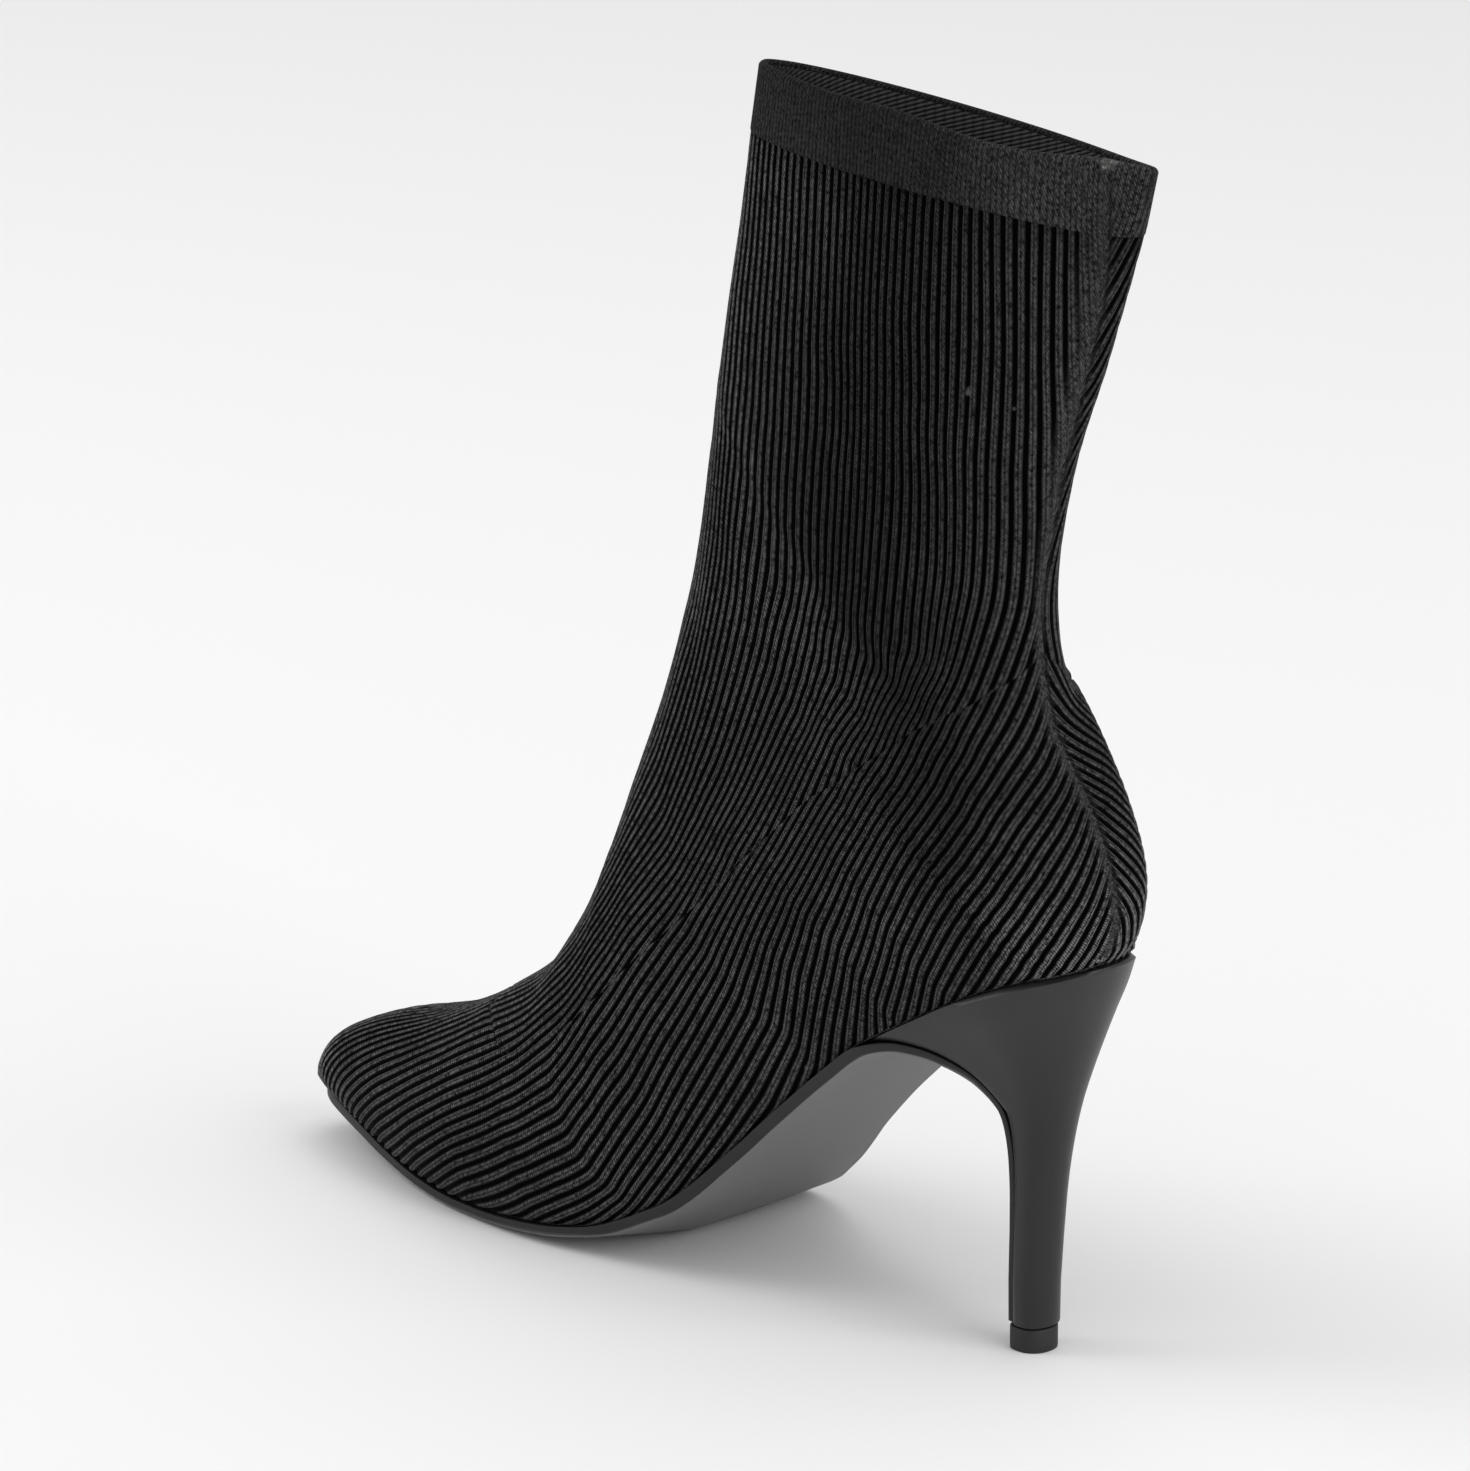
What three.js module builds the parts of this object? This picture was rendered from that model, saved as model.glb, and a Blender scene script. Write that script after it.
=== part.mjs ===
// Stiletto sock boot, right foot, in millimetres, +Z up, +X towards the toe, +Y the inner side of the foot.
// The origin is on the floor, under the middle of the heel's tip.
// Five pieces: a knitted upper (one hollow tube from toe to collar), a thin outsole whose rear flap runs
// down the front of the heel, the slim heel, its top piece, and the insole inside.
//
// Every curved piece is worked out from sections. A row of a table is one section, its lengths are shares
// of the sizes below, and a curve through the rows gives the sections in between.
import * as THREE from "three";
import { mergeVertices } from "three/addons/utils/BufferGeometryUtils.js";

// Lengths along and across the foot
const footLength = 231.6; // back of the heel seat to the tip of the toe
const heelReach = 20.6; // back of the heel seat behind the middle of the heel's tip
const ballWidth = 69; // outsole across the ball of the foot
const lastWidth = 71; // knitted upper across the ball of the foot
// Heights
const seatHeight = 89.6; // back of the heel seat above the floor
const toeSpring = 8.7; // underside of the toe above the floor
const edgeLift = 4.6; // most that the rim of the tread stands above its middle
const flatShare = 0.25; // share of the sole's width that is flat across, in the middle
const instepHeight = 90; // ridge of the instep above the sole under it
const legHeight = 173; // collar above the back of the heel seat
// The leg
const legDepth = 116; // leg from back to front
// Walls and thin parts
const wall = 2; // knit, felled and lined
const cuffHeight = 16;
const cuffStep = 0.4; // the cuff stands this much outside the leg
const soleThickness = 2.6;
const flapThickness = 1.2; // outsole where it lies on the front of the heel
const insoleThickness = 1.8;
const tuck = 1.7; // the edge of the knit turns in this far from the rim of the sole
// The heel
const heelTipLength = 7.9; // front to back of the stem at its end, without the flap
const heelTipWidth = 10.6;
const heelChamfer = 0.5;
const topPieceHeight = 5.3;
const topPieceInset = 0.25; // the top piece is this much smaller all round
const clearance = 0.3; // between pieces that meet

// How finely the surfaces are cut
const ringStep = 0.5; // rows of a table per ring of the upper, half of that where the sole bends
const bendRows = [6, 10];
const upperSides = 32;
const soleSides = 8;
const insoleSides = 6;
const heelSides = 24;

// A table is a list of rows with named columns.
function table(columns, rows) {
  return rows.map((row) => Object.fromEntries(columns.map((name, i) => [name, row[i]])));
}

// Value of one column between the rows: a Catmull-Rom curve through them, u counting rows.
function along(rows, name, u) {
  const last = rows.length - 1;
  const i = Math.min(last - 1, Math.max(0, Math.floor(u)));
  const f = u - i;
  const p1 = rows[i][name];
  const p2 = rows[i + 1][name];
  const p0 = i > 0 ? rows[i - 1][name] : 2 * p1 - p2;
  const p3 = i < last - 1 ? rows[i + 2][name] : 2 * p2 - p1;
  return (
    p1 + 0.5 * f * (p2 - p0 + f * (2 * p0 - 5 * p1 + 4 * p2 - p3 + f * (3 * (p1 - p2) + p3 - p0)))
  );
}

// Row position where a column that falls from row to row reaches a value.
function rowAt(rows, name, value) {
  let low = 0;
  let high = rows.length - 1;
  for (let n = 0; n < 40; n++) {
    const mid = (low + high) / 2;
    if (along(rows, name, mid) > value) low = mid;
    else high = mid;
  }
  return (low + high) / 2;
}

// Bottom of the last, from toe to heel. at: share of the foot's length from the back of the seat.
// rise: height of the sole's top face, share of the seat's height. spring: the same, share of the toe's spring.
// inner, outer: the rim of the sole on the two sides of the foot's axis, shares of the ball's width.
// liftIn, liftOut: how far the rim stands above the middle, shares of the edge's lift.
const bottom = table(
  ["at", "rise", "spring", "inner", "outer", "liftIn", "liftOut"],
  [
    [1.0, 0, 0.99, 0.185, 0.165, 0, 0],
    [0.993, 0, 0.96, 0.225, 0.115, 0, 0],
    [0.974, 0, 0.87, 0.268, 0.062, 0.02, 0.02],
    [0.94, 0, 0.74, 0.312, 0.004, 0.04, 0.04],
    [0.901, 0, 0.56, 0.352, -0.077, 0.05, 0.05],
    [0.854, 0, 0.34, 0.398, -0.17, 0.07, 0.07],
    [0.793, 0, 0.12, 0.45, -0.292, 0.1, 0.1],
    [0.729, 0, 0.0, 0.488, -0.4, 0.15, 0.12],
    [0.659, -0.002, 0, 0.502, -0.468, 0.2, 0.13],
    [0.594, -0.002, 0, 0.493, -0.501, 0.5, 0.18],
    [0.538, 0.005, 0, 0.463, -0.507, 1.0, 0.22],
    [0.503, 0.048, 0, 0.442, -0.495, 0.9, 0.16],
    [0.477, 0.103, 0, 0.432, -0.466, 0.5, 0.04],
    [0.451, 0.159, 0, 0.415, -0.434, 0.15, 0],
    [0.425, 0.222, 0, 0.392, -0.4, 0, 0],
    [0.4, 0.285, 0, 0.371, -0.367, 0, 0],
    [0.37, 0.359, 0, 0.352, -0.342, 0, 0],
    [0.344, 0.424, 0, 0.344, -0.331, 0, 0],
    [0.313, 0.497, 0, 0.34, -0.326, 0, 0],
    [0.287, 0.557, 0, 0.339, -0.326, 0, 0],
    [0.261, 0.614, 0, 0.338, -0.327, 0, 0],
    [0.236, 0.668, 0, 0.337, -0.328, 0, 0],
    [0.21, 0.712, 0, 0.335, -0.328, 0, 0],
    [0.177, 0.762, 0, 0.332, -0.327, 0, 0],
    [0.139, 0.818, 0, 0.326, -0.324, 0, 0],
    [0.101, 0.872, 0, 0.314, -0.314, 0, 0],
    [0.063, 0.918, 0, 0.284, -0.284, 0, 0],
    [0.037, 0.944, 0, 0.236, -0.236, 0, 0],
    [0.019, 0.956, 0, 0.174, -0.174, 0, 0],
    [0.006, 0.9635, 0, 0.1, -0.1, 0, 0],
    [0.0, 0.967, 0, 0, 0, 0, 0],
  ],
);

// The sole's top face and rim at a place along the foot.
function footprint(x) {
  const u = rowAt(bottom, "at", (x + heelReach) / footLength);
  const col = (name) => along(bottom, name, u);
  return {
    z: soleThickness + Math.max(0, col("rise") * seatHeight + col("spring") * toeSpring),
    inner: col("inner") * ballWidth,
    outer: col("outer") * ballWidth,
    liftIn: col("liftIn") * edgeLift,
    liftOut: col("liftOut") * edgeLift,
  };
}

// Height of the sole's top face at a point: a strip in the middle is flat across, and both sides rise to the rims.
function seatAt(x, y) {
  const f = footprint(x);
  const half = Math.max(1e-3, (f.inner - f.outer) / 2);
  const off = (y - (f.inner + f.outer) / 2) / half;
  const share = Math.min(1.2, Math.max(0, (Math.abs(off) - flatShare) / (1 - flatShare)));
  return f.z + (off > 0 ? f.liftIn : f.liftOut) * share;
}

// Slope of the sole along the foot.
function slopeAt(x) {
  return (footprint(x + 1).z - footprint(x - 1).z) / 2;
}

// Sections of the upper, a fan of flat rings from the toe, over the instep, to the level collar.
// back: lower or rear end of the ring along the foot, share of the foot's length from the back of the seat.
// up: its height over the seat, share of the leg's height; 0 on the foot, where it lies on the sole.
// reach, rise: from there to the front end, shares of the leg's depth and of the instep's height.
// half: half of the ring's greatest width, share of the last's width. widest: how far up the ring that is.
// side: offset of the ring's middle to the inner side, share of the last's width.
// low, high: roundness of the ring's lower and upper part, 2 being an ellipse. hem: 1 where the ring is open below.
const sections = table(
  ["back", "up", "reach", "rise", "half", "widest", "side", "low", "high", "hem"],
  [
    [0.998, 0, 0, 0.004, 0.002, 0.4, 0.168, 2, 2, 1],
    [0.992, 0, 0.009, 0.058, 0.086, 0.4, 0.167, 2, 2, 1],
    [0.968, 0, 0.031, 0.132, 0.139, 0.4, 0.162, 2, 2.1, 1],
    [0.94, 0, 0.038, 0.189, 0.188, 0.4, 0.15, 2, 2.2, 1],
    [0.888, 0, 0.04, 0.268, 0.276, 0.38, 0.123, 2, 2.2, 1],
    [0.809, 0, 0.05, 0.354, 0.386, 0.36, 0.084, 2, 2.2, 1],
    [0.722, 0, 0.058, 0.481, 0.474, 0.34, 0.045, 2, 2.1, 1],
    [0.625, 0, 0.087, 0.644, 0.501, 0.34, 0.01, 2, 2, 1],
    [0.524, 0, 0.178, 0.868, 0.485, 0.35, -0.008, 2, 2, 1],
    [0.423, 0, 0.297, 0.946, 0.432, 0.37, 0, 2, 2, 1],
    [0.323, 0, 0.422, 0.958, 0.41, 0.4, 0, 2, 2, 1],
    [0.224, 0, 0.574, 0.956, 0.4, 0.42, 0, 2, 2, 1],
    [0.125, 0, 0.75, 0.969, 0.393, 0.42, 0, 2, 2, 1],
    [0.056, 0, 0.879, 0.994, 0.388, 0.42, 0, 2, 2, 1],
    [0.022, 0, 0.942, 1.035, 0.383, 0.42, 0, 2.2, 2, 1],
    [0.008, 0, 0.966, 1.073, 0.375, 0.42, 0, 2.9, 2, 0],
    [-0.009, 0.03, 0.999, 1.05, 0.362, 0.42, 0, 2.8, 2, 0],
    [-0.014, 0.091, 1.009, 0.969, 0.344, 0.42, 0, 2.7, 2, 0],
    [0.018, 0.195, 0.943, 0.809, 0.322, 0.42, 0, 2.4, 2, 0],
    [0.07, 0.322, 0.834, 0.653, 0.297, 0.45, 0, 2.2, 2, 0],
    [0.083, 0.467, 0.797, 0.476, 0.272, 0.48, 0, 2.1, 2, 0],
    [0.058, 0.615, 0.834, 0.293, 0.245, 0.5, 0, 2.1, 2, 0],
    [0.012, 0.751, 0.908, 0.149, 0.212, 0.5, 0, 2.1, 2, 0],
    [-0.029, 0.896, 0.975, 0.038, 0.171, 0.5, 0, 2.1, 2, 0],
    [-0.052, 0.99, 0.999, 0.05, 0.127, 0.5, 0, 2.1, 2, 0],
  ],
);
const collarRow = sections.length - 1;
const collar = sections[collarRow];

// One point of the upper's outside. u counts rows, v goes from -1 at the inner hem or the back seam,
// over the front ridge at 0, to 1 at the outer hem or again the back seam.
function upperPoint(u, v) {
  const col = (name) => along(sections, name, u);
  const x0 = col("back") * footLength - heelReach;
  const f = footprint(x0);
  const z0 = f.z + clearance * Math.hypot(1, slopeAt(x0)) + Math.max(0, col("up")) * legHeight;
  const half = Math.max(0.01, col("half") * lastWidth);
  const middle = col("side") * lastWidth;
  const inner = v < 0;
  const open = Math.min(1, Math.max(0, col("hem")));
  const rim = inner ? f.inner - middle : middle - f.outer;
  const hem = Math.min(0.97 * half, Math.max(0, rim - tuck) * Math.sqrt(open));
  const a = Math.abs(v);
  const widest = col("widest");
  let t;
  let y;
  if (a <= 0.5) {
    const angle = a * Math.PI;
    t = widest + (1 - widest) * Math.pow(Math.max(0, Math.cos(angle)), 2 / col("high"));
    y = half * Math.pow(Math.sin(angle), 2 / col("high"));
  } else {
    const angle = (a - 0.5) * Math.PI;
    t = widest * (1 - Math.sin(angle));
    y = hem + (half - hem) * Math.pow(Math.max(0, Math.cos(angle)), 2 / col("low"));
  }
  const hemLift = seatAt(x0, middle + (inner ? hem : -hem)) - f.z;
  const lift = open * hemLift * Math.pow(1 - Math.min(1, t / widest), 2);
  return new THREE.Vector3(
    x0 + col("reach") * legDepth * t,
    middle + (inner ? y : -y),
    z0 + lift + col("rise") * instepHeight * t,
  );
}

// Row positions of the upper's rings. The cuff's lower edge gets two rings, for its step.
function upperRings() {
  const cuffRow = rowAt(
    sections.map((row) => ({ down: 1 - row.up })),
    "down",
    cuffHeight / legHeight + 1 - collar.up,
  );
  const rings = [];
  for (let u = 0; u < cuffRow - ringStep / 2; ) {
    rings.push({ u, step: 0 });
    u += u >= bendRows[0] && u < bendRows[1] ? ringStep / 2 : ringStep;
  }
  rings.push({ u: cuffRow - 0.02, step: 0 }, { u: cuffRow + 0.02, step: cuffStep });
  for (let k = 1; k <= 2; k++)
    rings.push({ u: cuffRow + ((collarRow - cuffRow) * k) / 2, step: cuffStep });
  return rings;
}

// A mesh from a list of points and triangles: equal points are joined and empty triangles left out.
function solid(name, points, faces, look) {
  const geometry = new THREE.BufferGeometry();
  geometry.setAttribute(
    "position",
    new THREE.Float32BufferAttribute(
      points.flatMap((p) => [p.x, p.y, p.z]),
      3,
    ),
  );
  geometry.setIndex(faces.flat());
  const joined = mergeVertices(geometry, 1e-3);
  const index = joined.index.array;
  const kept = [];
  for (let i = 0; i < index.length; i += 3) {
    const [a, b, c] = [index[i], index[i + 1], index[i + 2]];
    if (a !== b && b !== c && a !== c) kept.push(a, b, c);
  }
  joined.setIndex(kept);
  joined.computeVertexNormals();
  const mesh = new THREE.Mesh(joined, new THREE.MeshStandardMaterial(look));
  mesh.name = name;
  return mesh;
}

const quad = (a, b, c, d) => [
  [a, b, c],
  [a, c, d],
];

// Normals of a grid of points, with both ends of each closed row sharing one normal.
function gridNormals(grid) {
  const rows = grid.length;
  const cols = grid[0].length;
  return grid.map((row, i) =>
    row.map((_, j) => {
      const closed = row[0].distanceTo(row[cols - 1]) < 0.02;
      const left = j > 0 ? row[j - 1] : closed ? row[cols - 2] : row[0];
      const right = j < cols - 1 ? row[j + 1] : closed ? row[1] : row[cols - 1];
      const down = grid[Math.max(0, i - 1)][j];
      const up = grid[Math.min(rows - 1, i + 1)][j];
      return right.clone().sub(left).cross(up.clone().sub(down)).normalize();
    }),
  );
}

// The knitted upper: its outside, the same grid moved in by the wall, and the faces at hem and collar.
function makeUpper() {
  const rings = upperRings();
  const vs = Array.from({ length: upperSides + 1 }, (_, j) => -1 + (2 * j) / upperSides);
  const base = rings.map(({ u }) => vs.map((v) => upperPoint(u, v)));
  const tip = upperPoint(0, 1);
  base[0] = vs.map(() => tip.clone());
  const normals = gridNormals(base);
  const outward = Math.sign(
    normals[Math.floor(rings.length * 0.8)][upperSides / 2].x, // the front ridge of the leg faces forward
  );
  const outer = [];
  const inner = [];
  rings.forEach(({ step }, i) => {
    const outRow = [];
    const inRow = [];
    vs.forEach((_, j) => {
      const point = base[i][j];
      const normal = normals[i][j].clone().multiplyScalar(outward);
      const atHem = (j === 0 || j === upperSides) && base[i][0].distanceTo(base[i][upperSides]) > 0.02;
      const half = point.distanceTo(base[i][upperSides - j]) / 2;
      let depth = wall;
      if (i === 0) {
        normal.set(1, 0, 0);
      } else if (atHem) {
        const along = base[i + 1][j].clone().sub(base[i - 1][j]).normalize();
        const level = new THREE.Vector3(-slopeAt(point.x), 0, 1).normalize();
        normal.addScaledVector(level, -normal.dot(level));
        normal.addScaledVector(along, -normal.dot(along)).normalize();
        depth = Math.min(wall, 0.6 * half);
      } else if (point.x > footLength - heelReach - 4 * wall) {
        depth = Math.min(wall, 0.6 * Math.max(half, wall));
      }
      outRow.push(point.clone().addScaledVector(normal, step));
      inRow.push(point.clone().addScaledVector(normal, -depth));
    });
    outer.push(outRow);
    inner.push(inRow);
  });
  const cols = upperSides + 1;
  const points = [...outer.flat(), ...inner.flat()];
  const at = (i, j) => i * cols + j;
  const shift = rings.length * cols;
  const faces = [];
  for (let i = 0; i + 1 < rings.length; i++) {
    for (let j = 0; j < upperSides; j++) {
      const [a, b, c, d] = [at(i, j), at(i, j + 1), at(i + 1, j + 1), at(i + 1, j)];
      faces.push(...quad(a, b, c, d), ...quad(d + shift, c + shift, b + shift, a + shift));
    }
    const openHere = base[i][0].distanceTo(base[i][upperSides]) > 0.02 || i === 0;
    if (openHere) {
      const [a, d] = [at(i, 0), at(i + 1, 0)];
      faces.push(...quad(a, d, d + shift, a + shift));
      const [b, c] = [at(i, upperSides), at(i + 1, upperSides)];
      faces.push(...quad(c, b, b + shift, c + shift));
    }
  }
  const top = rings.length - 1;
  for (let j = 0; j < upperSides; j++) {
    const [d, c] = [at(top, j), at(top, j + 1)];
    faces.push(...quad(d, c, c + shift, d + shift));
  }
  if (outward < 0) faces.forEach((face) => face.reverse());
  return solid("upper", points, faces, { color: 0x26272a, roughness: 0.95, metalness: 0 });
}

// A thin sheet from cross-sections: each has a row of points on its upper and on its lower side.
function sheet(name, strips, look) {
  const count = strips[0].upper.length;
  const points = strips.flatMap(({ upper, lower }) => [...upper, ...lower]);
  const loop = 2 * count;
  const up = (i, j) => i * loop + j;
  const low = (i, j) => i * loop + count + j;
  const faces = [];
  const last = strips.length - 1;
  for (let i = 0; i < last; i++) {
    for (let j = 0; j + 1 < count; j++) {
      faces.push(...quad(up(i, j), up(i + 1, j), up(i + 1, j + 1), up(i, j + 1)));
      faces.push(...quad(low(i, j), low(i, j + 1), low(i + 1, j + 1), low(i + 1, j)));
    }
    faces.push(...quad(up(i, 0), low(i, 0), low(i + 1, 0), up(i + 1, 0)));
    const e = count - 1;
    faces.push(...quad(up(i, e), up(i + 1, e), low(i + 1, e), low(i, e)));
  }
  for (let j = 0; j + 1 < count; j++) {
    faces.push(...quad(up(0, j), up(0, j + 1), low(0, j + 1), low(0, j)));
    faces.push(...quad(up(last, j), low(last, j), low(last, j + 1), up(last, j + 1)));
  }
  return solid(name, points, faces, look);
}

// Sections of the heel, from its seat to the end of the stem.
// front, back: ends of the ring along the foot, shares of the foot's length from the heel tip's middle.
// frontUp, backUp: their heights, shares of the seat's height. half: share of the ball's width.
// crown: how far the ring bulges above the line from end to end, share of the seat's height.
// square: roundness of the ring's front half, 2 being an ellipse and more being squarer.
// flap: width of the outsole's flap on it, share of the ring's width.
const heelRows = table(
  ["front", "frontUp", "back", "backUp", "half", "crown", "square", "flap"],
  [
    [0.112, 0.738, -0.0895, 0.997, 0.322, 0.029, 9, 0.96],
    [0.0915, 0.7375, -0.0835, 0.93, 0.283, 0.018, 8, 0.95],
    [0.0685, 0.724, -0.076, 0.866, 0.233, 0.009, 6.5, 0.93],
    [0.047, 0.695, -0.0675, 0.792, 0.184, 0.003, 4.5, 0.88],
    [0.0305, 0.654, -0.0575, 0.71, 0.1455, 0, 3.2, 0.8],
    [0.016, 0.593, -0.0482, 0.628, 0.1145, 0, 2.6, 0.72],
    [0.01, 0.514, -0.04, 0.534, 0.0965, 0, 2.6, 0.67],
    [0.008, 0.41, -0.0332, 0.423, 0.0855, 0, 2.8, 0.66],
    [0.0085, 0.29, -0.0285, 0.296, 0.0805, 0, 3.0, 0.66],
  ],
);
const stemEnd = topPieceHeight + clearance;
const stemFront = 0.29; // share of the stem's length that lies ahead of the tip's middle
const stemSquare = 3;
const stemFlap = 0.66; // width of the flap at the stem's end, share of the stem's width

// Outline of the stem or the seat: a half ellipse at the back and a squarer half at the front.
function heelOutline(front, back, half, square, side) {
  const middle = back + 0.53 * (front - back);
  const angle = (2 * Math.PI * side) / heelSides;
  const c = Math.cos(angle);
  const s = Math.sin(angle);
  const n = c > 0 ? square : 2.2;
  const x = Math.sign(c) * Math.pow(Math.abs(c), 2 / n) * (c > 0 ? front - middle : middle - back);
  const y = Math.sign(s) * Math.pow(Math.abs(s), 2 / n) * half;
  return { x: middle + x, y };
}

// The heel: rings that turn from the slope of the seat to level, with the seat itself following the last.
function makeHeel() {
  const rings = [];
  const steps = 2;
  const seatFront = heelRows[0].front * footLength;
  const seatBack = -heelReach;
  for (let k = 0; k <= (heelRows.length - 1) * steps; k++) {
    const u = Math.max(0.12, k / steps);
    const col = (name) => along(heelRows, name, u);
    const front = col("front") * footLength;
    const back = col("back") * footLength;
    const ring = [];
    for (let side = 0; side < heelSides; side++) {
      const p = heelOutline(front, back, col("half") * ballWidth, col("square"), side);
      const t = (p.x - back) / (front - back);
      const z =
        seatHeight * (col("backUp") + (col("frontUp") - col("backUp")) * t + col("crown") * 4 * t * (1 - t));
      ring.push(new THREE.Vector3(p.x, p.y, z));
    }
    rings.push(ring);
  }
  const top = heelRows[0];
  const seat = rings[0].map((_, side) => {
    const p = heelOutline(seatFront, seatBack, top.half * ballWidth, top.square, side);
    const f = footprint(p.x);
    const rim = p.y >= 0 ? f.inner : -f.outer;
    const y = side % (heelSides / 2) === 0 ? 0 : Math.sign(p.y) * Math.min(Math.abs(p.y), rim);
    return new THREE.Vector3(p.x, y, seatAt(p.x, y));
  });
  rings.unshift(seat);
  const ends = [
    { up: 15, half: 0.51, length: 1.02, inset: 0 },
    { up: stemEnd + heelChamfer, half: 0.5, length: 1, inset: 0 },
    { up: stemEnd, half: 0.5, length: 1, inset: heelChamfer },
  ];
  ends.forEach(({ up, half, length, inset }) => {
    const front = stemFront * heelTipLength * length - inset;
    const back = (stemFront - 1) * heelTipLength * length + inset;
    const ring = [];
    for (let side = 0; side < heelSides; side++) {
      const p = heelOutline(front, back, half * heelTipWidth - inset, stemSquare, side);
      ring.push(new THREE.Vector3(p.x, p.y, up));
    }
    rings.push(ring);
  });
  const points = rings.flat();
  const faces = [];
  const at = (i, side) => i * heelSides + ((side + heelSides) % heelSides);
  for (let i = 0; i + 1 < rings.length; i++)
    for (let side = 0; side < heelSides; side++)
      faces.push(...quad(at(i, side), at(i + 1, side), at(i + 1, side + 1), at(i, side + 1)));
  const end = rings.length - 1;
  for (let side = 0; side < heelSides / 2; side++) {
    faces.push(...quad(at(0, side), at(0, side + 1), at(0, -side - 1), at(0, -side)));
    faces.push(...quad(at(end, side), at(end, -side), at(end, -side - 1), at(end, side + 1)));
  }
  return solid("heel", points, faces, { color: 0x2b2c2e, roughness: 0.5, metalness: 0 });
}

// The top piece: a short plug under the stem and the end of the flap, flat on the floor.
function makeTopPiece() {
  const outline = [];
  for (let side = 0; side < heelSides; side++)
    outline.push(
      heelOutline(
        stemFront * heelTipLength + clearance + flapThickness - topPieceInset,
        (stemFront - 1) * heelTipLength + topPieceInset,
        heelTipWidth / 2 - topPieceInset,
        stemSquare,
        side,
      ),
    );
  const levels = [
    { up: topPieceHeight, inset: 0 },
    { up: 0.5, inset: 0 },
    { up: 0, inset: 0.05 },
  ];
  const points = levels.flatMap(({ up, inset }) =>
    outline.map((p) => new THREE.Vector3(p.x * (1 - inset), p.y * (1 - inset), up)),
  );
  const faces = [];
  const at = (i, side) => i * heelSides + ((side + heelSides) % heelSides);
  for (let i = 0; i + 1 < levels.length; i++)
    for (let side = 0; side < heelSides; side++)
      faces.push(...quad(at(i, side), at(i + 1, side), at(i + 1, side + 1), at(i, side + 1)));
  const end = levels.length - 1;
  for (let side = 0; side < heelSides / 2; side++) {
    faces.push(...quad(at(0, side), at(0, side + 1), at(0, -side - 1), at(0, -side)));
    faces.push(...quad(at(end, side), at(end, -side), at(end, -side - 1), at(end, side + 1)));
  }
  return solid("heel_top_piece", points, faces, { color: 0x1b1b1c, roughness: 0.75, metalness: 0 });
}

// The outsole: from the tip of the toe to the hip it lies under the upper and the insole,
// then it bends over the lip of the heel and runs down the heel's front to the top piece.
function makeOutsole() {
  const lip = heelRows[0].front * footLength; // front edge of the heel's seat
  const strips = [];
  const strip = (upperAt, lowerAt, inner, outer, share) => {
    const rows = { upper: [], lower: [] };
    for (let j = 0; j <= soleSides; j++) {
      const k = j / soleSides;
      rows.upper.push(upperAt(inner + (outer - inner) * k));
      const bevel = 1 - share;
      const middle = (inner + outer) / 2;
      rows.lower.push(lowerAt(middle + (inner - middle + (outer - inner) * k) * (1 - bevel)));
    }
    strips.push(rows);
  };
  for (let k = 0; k < bottom.length * 2; k++) {
    const u = k / 2;
    const x = along(bottom, "at", u) * footLength - heelReach;
    if (x < lip + 2 * clearance + 0.6) break;
    const f = footprint(x);
    const slope = slopeAt(x);
    const bend = 1 / Math.hypot(1, slope);
    strip(
      (y) => new THREE.Vector3(x, y, seatAt(x, y)),
      (y) => {
        const down = Math.min(soleThickness, seatAt(x, y));
        return new THREE.Vector3(x + down * slope * bend, y, seatAt(x, y) - down * bend);
      },
      f.inner,
      f.outer,
      0.965,
    );
  }
  // Over the lip: the last strip of the foot, then the flap along the heel's front.
  const lipUp = heelRows[0].frontUp * seatHeight;
  const lipHalf = heelRows[0].half * ballWidth * heelRows[0].flap;
  strip(
    (y) => new THREE.Vector3(lip + clearance, y, lipUp + clearance),
    (y) => new THREE.Vector3(lip + clearance + 1.6, y, lipUp - soleThickness),
    lipHalf,
    -lipHalf,
    0.965,
  );
  strip(
    (y) => new THREE.Vector3(lip, y, lipUp - clearance),
    (y) => new THREE.Vector3(lip - 0.4, y, lipUp - clearance - flapThickness),
    lipHalf * 0.97,
    -lipHalf * 0.97,
    0.965,
  );
  const stations = [];
  for (let k = 1; k <= (heelRows.length - 1) * 2; k++) stations.push(k / 2);
  const heelFront = (u) => ({
    x: along(heelRows, "front", u) * footLength,
    z: along(heelRows, "frontUp", u) * seatHeight,
    half: along(heelRows, "half", u) * along(heelRows, "flap", u) * ballWidth,
  });
  const flapStrip = (p, nx, nz, half) => {
    const gap = clearance;
    const out = clearance + flapThickness;
    strip(
      (y) => new THREE.Vector3(p.x + gap * nx, y, p.z + gap * nz),
      (y) => new THREE.Vector3(p.x + out * nx, y, p.z + out * nz),
      half,
      -half,
      0.96,
    );
  };
  stations.forEach((u) => {
    const p = heelFront(u);
    const before = heelFront(u - 0.15);
    const after = heelFront(u + 0.15);
    const length = Math.hypot(after.x - before.x, after.z - before.z);
    const nx = (before.z - after.z) / length;
    const nz = (after.x - before.x) / length;
    flapStrip(p, nx, nz, p.half);
  });
  const endHalf = (stemFlap * heelTipWidth) / 2;
  flapStrip({ x: stemFront * heelTipLength * 1.02, z: 15 }, 1, 0, endHalf * 1.02);
  flapStrip({ x: stemFront * heelTipLength, z: stemEnd }, 1, 0, endHalf);
  return sheet("outsole", strips, { color: 0x3a3a3c, roughness: 0.7, metalness: 0 });
}

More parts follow.
